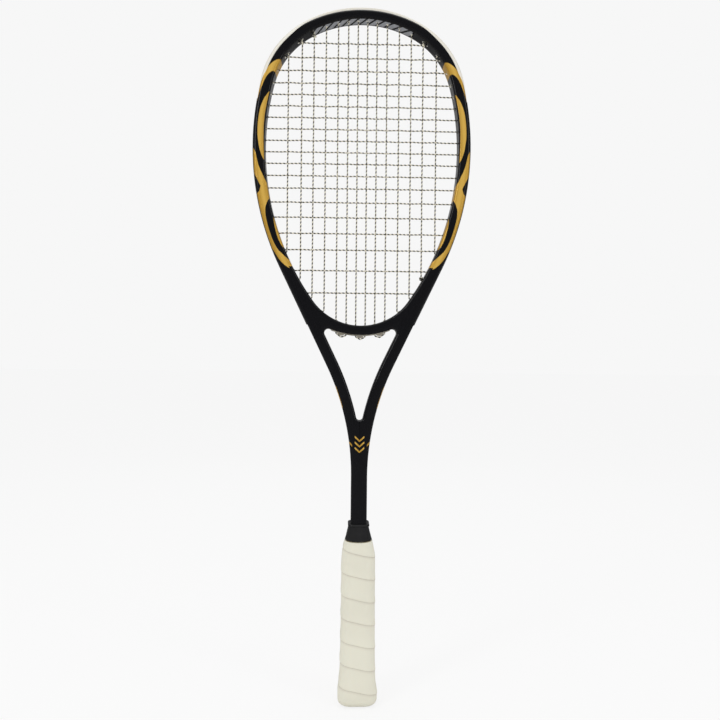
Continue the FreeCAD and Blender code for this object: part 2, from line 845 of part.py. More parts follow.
def collar_section(grow, height, share):
    """Collar section between its foot (share 0) and its neck (share 1)."""
    neck_width = shaft_half_width + collar_clearance + collar_wall
    neck_depth = beam_depth / 2 + collar_clearance + collar_wall
    width = collar_foot_width + (neck_width - collar_foot_width) * share
    depth = collar_foot_depth + (neck_depth - collar_foot_depth) * share
    return rounded_section(width + grow, depth + grow, edge_round + collar_wall, height)


def grip_collar():
    """Rubber collar over the top of the grip; it can be pushed up the shaft."""
    foot = pallet_top + collar_gap
    neck = foot + collar_height - collar_bead_height
    skirt = Part.makeLoft([collar_section(0, foot, 0), collar_section(0, neck, 1)], True, True)
    bead = Part.Face(collar_section(collar_bead, neck, 1)).extrude(Vector(0, 0, collar_bead_height))
    hollow_top = foot + collar_height * 0.55
    hollow = Part.makeLoft([collar_section(-collar_wall, foot - 0.01, 0),
                            collar_section(-collar_wall, hollow_top, 0.55)], True, True)
    bore = shaft_prism(collar_clearance, foot - 5, foot + collar_height + 5)
    return skirt.fuse(bead).cut([hollow, bore])


# ---- build ----
os.makedirs("parts", exist_ok=True)
opening_arm = sum(opening.lengths[:2]) + math.radians(arm_heading - side_heading) * side_radius
last_exit = main_bottoms[bridge_mains].exit
strip_end = tube_line.along_where(lambda x, z: z > last_exit[1], 0.0, tube_line.length) + strip_tail
bumper_end = sum(tube_line.lengths[:2]) + math.radians(bumper_heading - side_heading) * outer_radius

throat, crotch_height = throat_opening()
sleeve_top = crotch_height - sleeve_below_crotch
frame = frame_body()

groove_end = strip_end + 0.5
groove = band(tube_line, -groove_end, groove_end, -groove_depth, 3.0,
              -groove_half_width, groove_half_width)
bridge_groove = plate([bridge_floor(3.0), bridge_floor(-bridge_strip_sink)[::-1]],
                      -groove_half_width, groove_half_width)
holes = []
for end, depth_place, side, shared in string_ends():
    radius = tie_barrel_radius if shared else barrel_radius
    holes.append(hole(end, radius, depth_place, -3.0, reach_of(end), side))

zone = bridge_zone()
bridge = frame.common(zone).cut([bridge_groove] + holes)
bridge_foam = bridge_core()
bridge = bridge.cut(bridge_foam)

rebate = block(-60, 60, -60, 60, tube_end_height - 1, sleeve_top)
core = plate(tube_line.runs(-tube_line.length, tube_line.length, -sleeve_wall),
             -beam_depth / 2 + sleeve_wall, beam_depth / 2 - sleeve_wall)
lower = frame.common(rebate)
sleeve = lower.cut(core)
hairpin = frame.cut(zone).cut(rebate).fuse(lower.common(core))
hairpin = hairpin.cut([cavity(), groove] + holes).removeSplitter()

ends = string_ends()
bumper_height = tube_line.place(bumper_end)[1]
bumper_ends = [item for item in ends if item[0].exit[1] > bumper_height]
side_ends = {side: [item for item in ends if item[2] == side and item[0].exit[1] <= bumper_height
                    and item[0] not in main_bottoms[:bridge_mains]] for side in (-1, 1)}


def bumper_rail(begin, end, out):
    """Outer face of the bumper's rails, tapering into the tube at both ends."""
    share = bumper_line.length / sum(tube_line.lengths[:3])
    return bumper_line.runs(begin * share, end * share, out)


staples = [staple(-1), staple(1)]
pallets = pallet_core().cut(staples)
parts = {
    "hairpin_tube": hairpin,
    "throat_bridge": bridge,
    "bridge_foam_cores": bridge_foam,
    "shaft_sleeve": sleeve,
    "bumper_guard": strip(-bumper_end, bumper_end, bumper_rail, 0.0, bumper_half_depth, bumper_ends),
    "side_grommet_strip_right": strip(bumper_end + strip_gap, strip_end, tube_line.runs, lip_thickness,
                                      lip_half_width, side_ends[1]),
    "side_grommet_strip_left": strip(-strip_end, -bumper_end - strip_gap, tube_line.runs, lip_thickness,
                                     lip_half_width, side_ends[-1]),
    "bridge_grommet_strip": bridge_strip(),
    "main_string": main_string(),
    "cross_string": cross_string(),
    "leg_plug_right": leg_plug(),
    "leg_plug_left": leg_plug().mirror(Vector(0, 0, 0), Vector(1, 0, 0)),
    "handle_pallet_front": pallets.common(block(-60, 60, -60, 0, 0, racket_length)),
    "handle_pallet_back": pallets.common(block(-60, 60, 0, 60, 0, racket_length)),
    "butt_cap": butt_cap().cut(staples),
    "butt_cap_staples": Part.makeCompound(staples),
    "grip_wrap": grip_wrap(),
    "finishing_tape": finishing_tape(),
    "grip_collar": grip_collar(),
}
for name, shape in parts.items():
    print(name, len(shape.Solids), round(shape.Volume), shape.isValid(), shape.BoundBox)
    shape.exportStep("parts/" + name + ".step")
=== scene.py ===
import math
import bpy
import numpy as np
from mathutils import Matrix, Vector


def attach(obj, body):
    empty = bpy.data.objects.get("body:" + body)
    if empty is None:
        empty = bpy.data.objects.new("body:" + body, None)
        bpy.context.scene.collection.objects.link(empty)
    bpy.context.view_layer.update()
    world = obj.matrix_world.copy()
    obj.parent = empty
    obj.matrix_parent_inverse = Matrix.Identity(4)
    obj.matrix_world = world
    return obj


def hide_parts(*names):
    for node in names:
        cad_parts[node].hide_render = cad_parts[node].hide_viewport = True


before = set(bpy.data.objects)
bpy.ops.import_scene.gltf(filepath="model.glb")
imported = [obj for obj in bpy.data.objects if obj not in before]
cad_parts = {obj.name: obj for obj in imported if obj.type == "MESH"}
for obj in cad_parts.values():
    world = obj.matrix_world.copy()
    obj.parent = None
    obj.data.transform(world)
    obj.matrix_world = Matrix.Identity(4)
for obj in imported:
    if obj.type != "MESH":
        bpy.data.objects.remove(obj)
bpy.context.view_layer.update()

mm = 0.001

# view and light
view = {
    "distance": 0.70,
    "sideways": -0.0195,
    "height": 0.339,
    "lens": 35.25,
    "roll": 0.53,
}


def addCamera():
    data = bpy.data.cameras.new("camera")
    data.lens = view["lens"]
    data.sensor_width = 36.0
    data.clip_end = 20.0
    camera = bpy.data.objects.new("camera", data)
    bpy.context.collection.objects.link(camera)
    camera.location = (view["sideways"], -view["distance"], view["height"])
    aim = Vector((0.0, 0.0, view["height"])) - camera.location
    turn = aim.to_track_quat("-Z", "Y").to_euler()
    camera.rotation_euler = turn
    camera.rotation_euler.rotate_axis("Z", math.radians(view["roll"]))
    bpy.context.scene.camera = camera


addCamera()
print("camera ready")

# outlines
# the same tangent arcs as the frame; headings in degrees, 0 runs along +X at the top
head = {
    "topHeight": 683.4,         # outside of the bare tube
    "tubeTop": 8.4,
    "tubeSide": 11.2,
    "halfWidth": 95.7,
    "widestBelow": 125.8,
    "sideRadius": 262.3,
    "crownTurn": 28.6,
    "sideHeading": 75.9,
    "armHeading": 115.7,
    "heelHeading": 125.4,
    "throatRadius": 255.0,
    "shaftHalf": 7.9,
    "crotchHalf": 3.2,
    "shaftEnd": 30.0,
    "halfDepth": 9.5,
}


def normalAt(heading):
    angle = math.radians(heading)
    return np.array([math.sin(angle), math.cos(angle)])


# Right-hand half of a tangent outline, from the top centre downwards, in metres
class Line:
    def __init__(self, pieces):
        self.pieces = pieces
        self.lengths = [abs(p[2]) * (1.0 if p[4] is None else abs(math.radians(p[4] - p[3])))
                        for p in pieces]
        self.length = sum(self.lengths)

    # The piece at a distance from the top, its length and the run into it
    def find(self, along):
        rest = min(abs(along), self.length)
        for piece, length in zip(self.pieces, self.lengths):
            if rest <= length or piece is self.pieces[-1]:
                break
            rest -= length
        return piece, length, rest

    # Point and outward normal at a distance from the top; negative is the left side
    def at(self, along):
        piece, length, rest = self.find(along)
        if piece[4] is None:
            out = normalAt(piece[3])
            point = np.array([piece[0] + rest * out[1], piece[1] - rest * out[0]])
        else:
            out = normalAt(piece[3] + (piece[4] - piece[3]) * rest / length)
            point = np.array([piece[0], piece[1]]) + piece[2] * out
        flip = np.array([-1.0 if along < 0 else 1.0, 1.0])
        return point * flip, out * flip

    def heading(self, along):
        piece, length, rest = self.find(along)
        return piece[3] if piece[4] is None else piece[3] + (piece[4] - piece[3]) * rest / length

    # Distance along the outline of the first place with this heading
    def atHeading(self, heading):
        passed = 0.0
        for piece, length in zip(self.pieces, self.lengths):
            if piece[4] is not None and piece[3] <= heading <= piece[4]:
                return passed + length * (heading - piece[3]) / (piece[4] - piece[3])
            passed += length
        return passed

    # Signed distance of a point outside the outline
    def offset(self, x, z):
        x = abs(x)
        best = 1e9
        for piece in self.pieces:
            if piece[4] is None:
                out = normalAt(piece[3])
                run = (x - piece[0]) * out[1] - (z - piece[1]) * out[0]
                if -1e-9 <= run <= piece[2] + 1e-9:
                    gap = (x - piece[0]) * out[0] + (z - piece[1]) * out[1]
                    best = gap if abs(gap) < abs(best) else best
                continue
            sign = math.copysign(1.0, piece[2])
            turn = math.degrees(math.atan2(sign * (x - piece[0]), sign * (z - piece[1])))
            if min(piece[3], piece[4]) - 1e-6 <= turn <= max(piece[3], piece[4]) + 1e-6:
                gap = sign * math.hypot(x - piece[0], z - piece[1]) - piece[2]
                best = gap if abs(gap) < abs(best) else best
        return best


def headArcs(top, centre, radius):
    a = normalAt(head["crownTurn"])
    b = normalAt(head["sideHeading"])
    reach = centre[0] + radius * b[0]
    drop = centre[1] + radius * b[1] - top
    whole = a[0] * (b[1] - a[1]) - (a[1] - 1) * (b[0] - a[0])
    crown = (reach * (b[1] - a[1]) - drop * (b[0] - a[0])) / whole
    shoulder = (a[0] * drop - (a[1] - 1) * reach) / whole
    return [(0.0, top - crown, crown, 0.0, head["crownTurn"]),
            ((crown - shoulder) * a[0], top - crown + (crown - shoulder) * a[1],
             shoulder, head["crownTurn"], head["sideHeading"])]


# Narrows a span down to the place where a test stops holding
def halve(low, high, holds, rounds=50):
    for _ in range(rounds):
        middle = (low + high) / 2
        if holds(middle):
            low = middle
        else:
            high = middle
    return low, high


def metres(pieces):
    return [(x * mm, z * mm, size * mm, start, stop) for x, z, size, start, stop in pieces]


openingTop = head["topHeight"] - head["tubeTop"]
sideCentre = (head["halfWidth"] - head["sideRadius"], openingTop - head["widestBelow"])
outerRadius = head["sideRadius"] + head["tubeSide"]
heelOut = normalAt(head["heelHeading"])
heelRadius = (sideCentre[0] + head["sideRadius"] * heelOut[0]) / heelOut[0]
heelCentre = sideCentre[1] + (head["sideRadius"] - heelRadius) * heelOut[1]
opening = Line(metres(headArcs(openingTop, sideCentre, head["sideRadius"])
                      + [(*sideCentre, head["sideRadius"], head["sideHeading"], head["heelHeading"]),
                         (0.0, heelCentre, heelRadius, head["heelHeading"], 180.0)]))
armOut = normalAt(head["armHeading"])
armX = sideCentre[0] + outerRadius * armOut[0]
armZ = sideCentre[1] + outerRadius * armOut[1]
armLength = (armX - head["shaftHalf"] - head["throatRadius"] * (1 - armOut[0])) / -armOut[1]
sweepX = armX + armLength * armOut[1]
sweepZ = armZ - armLength * armOut[0]
shaftTop = sweepZ + head["throatRadius"] * armOut[1]
tubeLine = Line(metres(headArcs(head["topHeight"], sideCentre, outerRadius)
                       + [(*sideCentre, outerRadius, head["sideHeading"], head["armHeading"]),
                          (armX, armZ, armLength, head["armHeading"], None),
                          (sweepX + head["throatRadius"] * armOut[0],
                           sweepZ + head["throatRadius"] * armOut[1],
                           -head["throatRadius"], head["armHeading"], 90.0),
                          (head["shaftHalf"], shaftTop, shaftTop - head["shaftEnd"], 90.0, None)]))
hoopEnd = sum(tubeLine.lengths[:3])
flipX = np.array([-1.0, 1.0])


# mesh helpers
def newObject(name, verts, faces, uvs=None, sharp=35.0):
    mesh = bpy.data.meshes.new(name)
    mesh.from_pydata([tuple(v) for v in verts], [], [tuple(f) for f in faces])
    if uvs is not None:
        layer = mesh.uv_layers.new(name="shapeUv")
        index = np.zeros(len(mesh.loops), dtype=np.int32)
        mesh.loops.foreach_get("vertex_index", index)
        layer.data.foreach_set("uv", np.asarray(uvs, dtype=np.float32)[index].ravel())
    mesh.validate()
    mesh.update()
    mesh.shade_smooth()
    mesh.set_sharp_from_angle(angle=math.radians(sharp))
    piece = bpy.data.objects.new(name, mesh)
    bpy.context.collection.objects.link(piece)
    return piece


# Quads between the rows of a grid of vertices
def gridFaces(rows, columns, closeRows=False, closeColumns=True, start=0):
    faces = []
    for r in range(rows if closeRows else rows - 1):
        below = start + r * columns
        above = start + ((r + 1) % rows) * columns
        for c in range(columns if closeColumns else columns - 1):
            d = (c + 1) % columns
            faces.append((below + c, below + d, above + d, above + c))
    return faces


# Skin over equal rings of 3D points, with its ends capped
def loftRings(name, rings, uvs=None, capped=True, sharp=35.0):
    rows = len(rings)
    columns = len(rings[0])
    verts = np.concatenate([np.asarray(r) for r in rings])
    faces = gridFaces(rows, columns)
    if capped:
        faces.append(tuple(range(columns))[::-1])
        faces.append(tuple((rows - 1) * columns + c for c in range(columns)))
    flat = None if uvs is None else np.concatenate(uvs)
    return newObject(name, verts, faces, flat, sharp)


# Points of a rounded corner, angles in degrees
def corner(cx, cy, radius, start, stop, steps=6):
    turns = np.radians(np.linspace(start, stop, steps))
    return [(cx + radius * math.cos(t), cy + radius * math.sin(t)) for t in turns]


def joinObjects(pieces, name):
    bpy.ops.object.select_all(action="DESELECT")
    for piece in pieces:
        piece.select_set(True)
    bpy.context.view_layer.objects.active = pieces[0]
    if len(pieces) > 1:
        bpy.ops.object.join()
    joined = pieces[0]
    joined.name = name
    joined.data.name = name
    return joined


# shader groups
# Short ways to add and join nodes
class Tree:
    def __init__(self, tree):
        self.tree = tree

    def add(self, kind, **settings):
        node = self.tree.nodes.new(kind)
        for key, value in settings.items():
            setattr(node, key, value)
        return node

    def link(self, source, target):
        self.tree.links.new(source, target)

    def put(self, socket, value):
        if isinstance(value, bpy.types.NodeSocket):
            self.link(value, socket)
        else:
            socket.default_value = value

    def maths(self, operation, a, b=0.0, clamp=False):
        node = self.add("ShaderNodeMath", operation=operation, use_clamp=clamp)
        self.put(node.inputs[0], a)
        self.put(node.inputs[1], b)
        return node.outputs[0]

    def plus(self, a, b, clamp=False):
        return self.maths("ADD", a, b, clamp)

    def minus(self, a, b, clamp=False):
        return self.maths("SUBTRACT", a, b, clamp)

    def times(self, a, b):
        return self.maths("MULTIPLY", a, b)

    def over(self, a, b, clamp=False):
        return self.maths("DIVIDE", a, b, clamp)

    def larger(self, a, b):
        return self.maths("MAXIMUM", a, b)

    def absolute(self, a):
        return self.maths("ABSOLUTE", a)

    # How far a value is from the middle of its repeat, 0 to 0.5
    def offMiddle(self, value):
        return self.absolute(self.minus(self.maths("FRACT", value), 0.5))

    def split(self, vector):
        node = self.add("ShaderNodeSeparateXYZ")
        self.link(vector, node.inputs[0])
        return node.outputs

    def shapeUv(self):
        return self.split(self.add("ShaderNodeUVMap", uv_map="shapeUv").outputs[0])

    def blend(self, amount, a, b):
        node = self.add("ShaderNodeMix", data_type="RGBA")
        self.put(node.inputs["Factor"], amount)
        self.put(node.inputs[6], a)
        self.put(node.inputs[7], b)
        return node.outputs[2]

    def noise(self, vector, scale, detail):
        node = self.add("ShaderNodeTexNoise")
        self.put(node.inputs["Vector"], vector)
        self.put(node.inputs["Scale"], scale)
        node.inputs["Detail"].default_value = detail
        return node.outputs["Fac"]

    def step(self, value, low, high):
        node = self.add("ShaderNodeMapRange", interpolation_type="SMOOTHSTEP")
        self.put(node.inputs["Value"], value)
        self.put(node.inputs["From Min"], low)
        self.put(node.inputs["From Max"], high)
        return node.outputs["Result"]


def newGroup(name, inputs, outputs):
    group = bpy.data.node_groups.new(name, "ShaderNodeTree")
    for label, kind, value in inputs:
        socket = group.interface.new_socket(label, in_out="INPUT", socket_type=kind)
        if value is not None:
            socket.default_value = value
    for label, kind in outputs:
        group.interface.new_socket(label, in_out="OUTPUT", socket_type=kind)
    tree = Tree(group)
    return group, tree, tree.add("NodeGroupInput"), tree.add("NodeGroupOutput")


# Fine scratches and handling marks: a roughness value and a height
def surfaceWear():
    group, t, given, result = newGroup(
        "surfaceWear",
        [("Vector", "NodeSocketVector", None), ("Roughness", "NodeSocketFloat", 0.3),
         ("Amount", "NodeSocketFloat", 0.1), ("Scale", "NodeSocketFloat", 400.0)],
        [("Roughness", "NodeSocketFloat"), ("Height", "NodeSocketFloat"), ("Mask", "NodeSocketFloat")])
    coarse = t.noise(given.outputs["Vector"], 35.0, 4.0)
    fine = t.noise(given.outputs["Vector"], given.outputs["Scale"], 2.0)
    mask = t.step(coarse, 0.45, 0.7)
    shift = t.times(t.minus(mask, 0.35), given.outputs["Amount"])
    grain = t.times(t.minus(fine, 0.5), given.outputs["Amount"])
    total = t.plus(t.plus(given.outputs["Roughness"], shift), grain, clamp=True)
    t.link(total, result.inputs["Roughness"])
    t.link(fine, result.inputs["Height"])
    t.link(mask, result.inputs["Mask"])
    return group


# Slow change of shade over a moulded surface
def toneShift():
    group, t, given, result = newGroup(
        "toneShift",
        [("Vector", "NodeSocketVector", None), ("Color", "NodeSocketColor", (0.5, 0.5, 0.5, 1)),
         ("Second", "NodeSocketColor", (0.5, 0.5, 0.5, 1)), ("Scale", "NodeSocketFloat", 20.0)],
        [("Color", "NodeSocketColor")])
    amount = t.step(t.noise(given.outputs["Vector"], given.outputs["Scale"], 5.0), 0.3, 0.7)
    t.link(t.blend(amount, given.outputs["Color"], given.outputs["Second"]), result.inputs["Color"])
    return group


groups = {"wear": surfaceWear(), "tone": toneShift()}


def place(tree, group, **values):
    node = tree.add("ShaderNodeGroup")
    node.node_tree = group
    for label, value in values.items():
        tree.put(node.inputs[label], value)
    return node


def newMaterial(name):
    material = bpy.data.materials.new(name)
    material.use_nodes = True
    tree = Tree(material.node_tree)
    shader = material.node_tree.nodes["Principled BSDF"]
    coords = tree.add("ShaderNodeTexCoord")
    return material, tree, shader, coords.outputs["Object"]


def addBump(t, shader, height, strength, distance):
    bump = t.add("ShaderNodeBump")
    bump.inputs["Strength"].default_value = strength
    bump.inputs["Distance"].default_value = distance
    t.link(height, bump.inputs["Height"])
    t.link(bump.outputs["Normal"], shader.inputs["Normal"])


# Wear on the roughness; returns its grain as a height
def addWear(t, shader, coords, roughness, amount, scale):
    wear = place(t, groups["wear"], Vector=coords, Roughness=roughness, Amount=amount, Scale=scale)
    t.link(wear.outputs["Roughness"], shader.inputs["Roughness"])
    return wear.outputs["Height"]


# Moulded or rubbery finish with a slow tone change, wear and a fine bump
def plainFinish(name, look):
    material, t, shader, coords = newMaterial(name)
    tone = place(t, groups["tone"], Vector=coords, Color=look["color"], Second=look["second"],
                 Scale=look["toneScale"])
    t.link(tone.outputs["Color"], shader.inputs["Base Color"])
    height = addWear(t, shader, coords, look["roughness"], look["wear"], look["grain"])
    addBump(t, shader, height, look["bump"], look["bumpHeight"])
    shader.inputs["Specular IOR Level"].default_value = look.get("specular", 0.5)
    shader.inputs["Subsurface Weight"].default_value = look.get("subsurface", 0.0)
    shader.inputs["Subsurface Radius"].default_value = (0.002, 0.0016, 0.0012)
    return material


# lacquered frame
lacquer = {
    "black": (0.0035, 0.0035, 0.0045, 1.0),
    "weave": (0.006, 0.006, 0.0075, 1.0),
    "gold": (0.60, 0.34, 0.045, 1.0),
    # lighter gold, painted along the middle of the tube's width as a highlight
    "goldHighlight": (0.90, 0.56, 0.11, 1.0),
    "silver": (0.42, 0.43, 0.46, 1.0),
    "blackRoughness": 0.17,
    "goldRoughness": 0.30,
    "goldMetal": 0.35,
    "silverMetal": 0.35,
    "edge": 0.02,           # softness of a printed edge, as a share of the tube's width
    "bandLow": 420.0,       # heights between which the side bands lie
    "bandHigh": 640.0,
}
# height and place across the tube (0 inside, 1 outside) along each printed edge
bandEdges = {
    "crescentOut": [(602, 0.0), (598, 0.20), (591, 0.45), (579, 0.62), (566, 0.64), (550, 0.50), (540, 0.30),
                    (533, 0.0)],
    "crescentIn": [(601, 0.05), (588, 0.10), (573, 0.13), (558, 0.10), (543, 0.06), (534, 0.05)],
    "sweepIn": [(552, 1.19), (546, 1.0), (541, 0.78), (529, 0.57), (520, 0.30), (514, 0.10), (508, -0.15),
                (500, -0.15), (496, 0.05), (491, 0.34), (484, 0.58), (475, 0.68), (458, 0.70), (448, 0.60),
                (443, 0.40), (438, 0.14), (434, -0.15)],
    "sweepOut": [(524, 1.19), (517, 0.86), (508, 0.56), (503, 0.76), (499, 1.19), (452, 1.19), (446, 0.95),
                 (438, 0.82), (432, 0.60), (428, 0.29), (424, -0.15)],
    "sliver": [(482, -0.15), (476, 0.06), (466, 0.17), (457, 0.21), (447, -0.15)],
}
# heights at which a printed edge turns sharply
bandCorners = {"sweepOut": [517, 508, 503, 499], "sweepIn": [508, 500]}
hookEdges = {               # the top hook: place across the tube, height
    "low": [(0.0, 620), (0.42, 619), (0.66, 613), (0.80, 605), (0.92, 597), (1.0, 590)],
    "high": [(0.0, 632), (0.46, 630), (0.76, 624), (1.0, 616)],
}


# Float curve through given points inside the unit square
def curveOf(t, value, points, sharp=()):
    node = t.add("ShaderNodeFloatCurve")
    t.put(node.inputs["Value"], value)
    curve = node.mapping.curves[0]
    points = sorted(points)
    curve.points[0].location = points[0]
    curve.points[1].location = points[-1]
    for point in points[1:-1]:
        curve.points.new(*point)
    for point in curve.points:
        if any(abs(point.location[0] - mark) < 1e-4 for mark in sharp):
            point.handle_type = "VECTOR"
    node.mapping.update()
    return node.outputs[0]


# Mask of the printed gold bands from the height and the place across the tube
def goldBands():
    group, t, given, result = newGroup(
        "goldBands", [("Height", "NodeSocketFloat", 0.5), ("Across", "NodeSocketFloat", 0.5)],
        [("Mask", "NodeSocketFloat")])
    low, high = lacquer["bandLow"], lacquer["bandHigh"]
    height = given.outputs["Height"]
    across = given.outputs["Across"]
    share = t.over(t.minus(height, low * mm), (high - low) * mm, clamp=True)
    shifted = t.over(t.plus(across, 0.2), 1.4)      # room for edges that run past the tube
    soft = lacquer["edge"] / 1.4

    def shareOf(h):
        return (h - low) / (high - low)

    def above(name):
        points = [(shareOf(h), (v + 0.2) / 1.4) for h, v in bandEdges[name]]
        edge = curveOf(t, share, points, [shareOf(h) for h in bandCorners.get(name, [])])
        return t.step(t.minus(shifted, edge), -soft, soft)

    def below(name):
        return t.minus(1.0, above(name))

    def hookEdge(name):
        return curveOf(t, across, [(v, shareOf(h)) for v, h in hookEdges[name]])

    def fadeAt(mask, start, stop):
        return t.times(mask, t.step(height, start * mm, stop * mm))

    crescent = fadeAt(t.times(above("crescentIn"), below("crescentOut")), 532, 534)
    crescent = fadeAt(crescent, 602, 600)
    sweep = fadeAt(fadeAt(t.times(above("sweepIn"), below("sweepOut")), 421, 422), 549, 548)
    sliver = fadeAt(fadeAt(below("sliver"), 481, 478), 447, 449)
    hook = t.times(t.step(t.minus(share, hookEdge("low")), -0.003, 0.003),
                   t.step(t.minus(hookEdge("high"), share), -0.003, 0.003))
    total = t.larger(t.larger(crescent, sweep), t.larger(sliver, hook))
    t.link(total, result.inputs["Mask"])
    return group


# printed marks, in millimetres
marks = {
    "chevronFoot": 246.0,       # three small chevrons at the throat
    "chevronSlope": 0.9,
    "chevronPitch": 5.4,
    "chevronSpan": 16.4,
    "chevronHalf": 4.8,
    "armLow": 300.0,            # slivers on the outer edges of the arms
    "armHigh": 322.0,
    "armSlant": 1.1,
    "tickHeight": 258.0,        # short ticks beside the chevrons
    "tickSlope": 11.0,
    "barPitch": 8.4,            # plain slanted silver bars inside the top of the head
    "barSlant": 0.62,
    "barHalf": 49.0,
    "barLow": 655.0,
    "barDepth": 6.2,
}


# Mask of the chevrons, the slivers and the ticks
def goldMarks(t, x, y, z, across):
    sideways = t.absolute(x)
    depth = t.absolute(y)
    height = t.times(z, 1000.0)
    bent = t.minus(t.minus(height, marks["chevronFoot"]), t.times(sideways, marks["chevronSlope"] * 1000.0))
    stripe = t.step(t.offMiddle(t.over(bent, marks["chevronPitch"])), 0.19, 0.15)
    half = marks["chevronHalf"] * mm
    span = marks["chevronSpan"]
    inside = t.times(t.step(sideways, half, half - 0.0003),
                     t.times(t.step(bent, -0.2, 0.0), t.step(bent, span, span - 0.2)))
    chevrons = t.times(t.times(stripe, inside), t.step(depth, 0.0080, 0.0088))
    swept = t.plus(z, t.times(depth, marks["armSlant"]))
    low, high = marks["armLow"] * mm, marks["armHigh"] * mm
    sliver = t.times(t.step(swept, low, low + mm), t.step(swept, high, high - mm))
    sliver = t.times(sliver, t.step(across, 0.93, 0.95))
    slope = t.times(t.minus(across, 1.0), marks["tickSlope"])
    tick = t.step(t.absolute(t.minus(t.minus(height, marks["tickHeight"]), slope)), 1.3, 0.9)
    tick = t.times(tick, t.step(across, 0.72, 0.76))
    tick = t.times(tick, t.times(t.step(z, 0.250, 0.252), t.step(z, 0.264, 0.262)))
    return chevrons, sliver, tick


def silverBars(t, x, y, z, across):
    slant = t.plus(t.times(x, 1000.0), t.times(y, marks["barSlant"] * 1000.0))
    bars = t.step(t.offMiddle(t.over(slant, marks["barPitch"])), 0.36, 0.33)
    half, low, depth = marks["barHalf"] * mm, marks["barLow"] * mm, marks["barDepth"] * mm
    bars = t.times(bars, t.times(t.step(t.absolute(x), half, half - 0.0005), t.step(z, low, low + mm)))
    return t.times(bars, t.times(t.step(across, 0.10, 0.06), t.step(t.absolute(y), depth, depth - 0.0004)))


def lacquerMaterial():
    material, t, shader, coords = newMaterial("lacqueredCarbon")
    x, y, z = t.split(coords)
    across = t.shapeUv()[1]
    bands = place(t, goldBands(), Height=z, Across=across)
    chevrons, sliver, tick = goldMarks(t, x, y, z, across)
    gold = t.larger(t.larger(bands.outputs["Mask"], chevrons), t.larger(sliver, tick))
    bars = silverBars(t, x, y, z, across)
    # painted highlight: gold is lighter along the middle of the tube's width and darker towards its edges,
    # with noise breaking up the edge
    offCentre = t.absolute(t.minus(across, 0.45))
    flow = t.times(t.minus(t.noise(coords, 9.0, 2.0), 0.5), 0.25)
    goldWithHighlight = t.blend(t.step(t.plus(offCentre, flow), 0.42, 0.02), lacquer["gold"], lacquer["goldHighlight"])
    twill = t.add("ShaderNodeTexWave", wave_type="BANDS", bands_direction="DIAGONAL")
    t.link(coords, twill.inputs["Vector"])
    twill.inputs["Scale"].default_value = 420.0
    black = t.blend(twill.outputs["Fac"], lacquer["black"], lacquer["weave"])
    color = t.blend(gold, black, goldWithHighlight)
    color = t.blend(bars, color, lacquer["silver"])
    t.link(color, shader.inputs["Base Color"])
    metal = t.larger(t.times(gold, lacquer["goldMetal"]), t.times(bars, lacquer["silverMetal"]))
    t.link(metal, shader.inputs["Metallic"])
    wear = place(t, groups["wear"], Vector=coords, Roughness=lacquer["blackRoughness"], Amount=0.05,
                 Scale=900.0)
    duller = lacquer["goldRoughness"] - lacquer["blackRoughness"]
    rough = t.plus(wear.outputs["Roughness"], t.times(t.larger(gold, bars), duller))
    t.link(rough, shader.inputs["Roughness"])
    flakes = t.add("ShaderNodeTexVoronoi")
    t.link(coords, flakes.inputs["Vector"])
    flakes.inputs["Scale"].default_value = 3500.0
    edgeStep = t.plus(t.times(flakes.outputs["Distance"], t.times(gold, 0.3)), gold)
    addBump(t, shader, edgeStep, 0.25, 0.00002)
    shader.inputs["Specular IOR Level"].default_value = 0.28
    shader.inputs["Coat Weight"].default_value = 0.30
    shader.inputs["Coat Roughness"].default_value = 0.06
    return material


shell = {
    "stationStep": 1.6,
    "outRound": 3.2,
    "inRound": 2.6,
    "crown": 0.06,
    "grooveHalf": 3.0,
    "grooveDepth": 2.2,
    "sleeveTop": 272.2,
    "grooveFoot": 373.2,
    "crotchRun": 4.5,
    "crotchSteps": 12,
}


# Closed section in millimetres: (distance from the inside edge, depth), and its place across
def tubeSection(width, inRound, outRound, groove, depth):
    half = [(width - groove, 0.0), (width - groove, shell["grooveHalf"] - 0.03),
            (width, shell["grooveHalf"])]
    half += corner(width - outRound, depth - shell["crown"] - outRound, outRound, 0, 90, 8)
    half += [(width * 0.5, depth)]
    if inRound > 0.05:
        half += corner(inRound, depth - shell["crown"] - inRound, inRound, 90, 180, 8)
    else:
        half += [(0.0, depth)] * 8
    half += [(0.0, (depth - inRound) * 0.5)]
    whole = half + [(n, -y) for n, y in half[:0:-1]]
    return np.array(whole)


# Where the arms' inner edges come together above the shaft
def findCrotch():
    def isOpen(along):
        point, out = tubeLine.at(along)
        return (point - head["tubeSide"] * mm * out)[0] > head["crotchHalf"] * mm

    return halve(hoopEnd, tubeLine.length, isOpen)[0]


crotchAlong = findCrotch()


# Inside edge of the tube opposite a place on its outside, and how round that edge is
def innerEdge(along):
    a = abs(along)
    flip = np.array([-1.0 if along < 0 else 1.0, 1.0])
    if a <= hoopEnd:
        point, _ = opening.at(opening.atHeading(tubeLine.heading(a)))
        return point * flip, shell["inRound"]
    outerPoint, out = tubeLine.at(a)
    if a <= crotchAlong:
        return (outerPoint - head["tubeSide"] * mm * out) * flip, shell["inRound"]
    foot, footOut = tubeLine.at(crotchAlong)
    foot = foot - head["tubeSide"] * mm * footOut
    radius = foot[0] / footOut[0]
    centre = foot[1] - radius * footOut[1]
    run = (a - crotchAlong) / (shell["crotchRun"] * mm)
    first = math.atan2(footOut[1], footOut[0])
    if run < 1.0:
        turn = first + (-math.pi / 2 - first) * run
        point = np.array([radius * math.cos(turn), centre + radius * math.sin(turn)])
        return point * flip, shell["inRound"] * (1 - 0.75 * run)
    fade = math.exp(-(run - 1.0) / 3.0)
    rise = (centre - radius) - tubeLine.at(crotchAlong + shell["crotchRun"] * mm)[0][1]
    return np.array([0.0, outerPoint[1] + rise * fade]) * flip, shell["inRound"] * 0.25 * fade


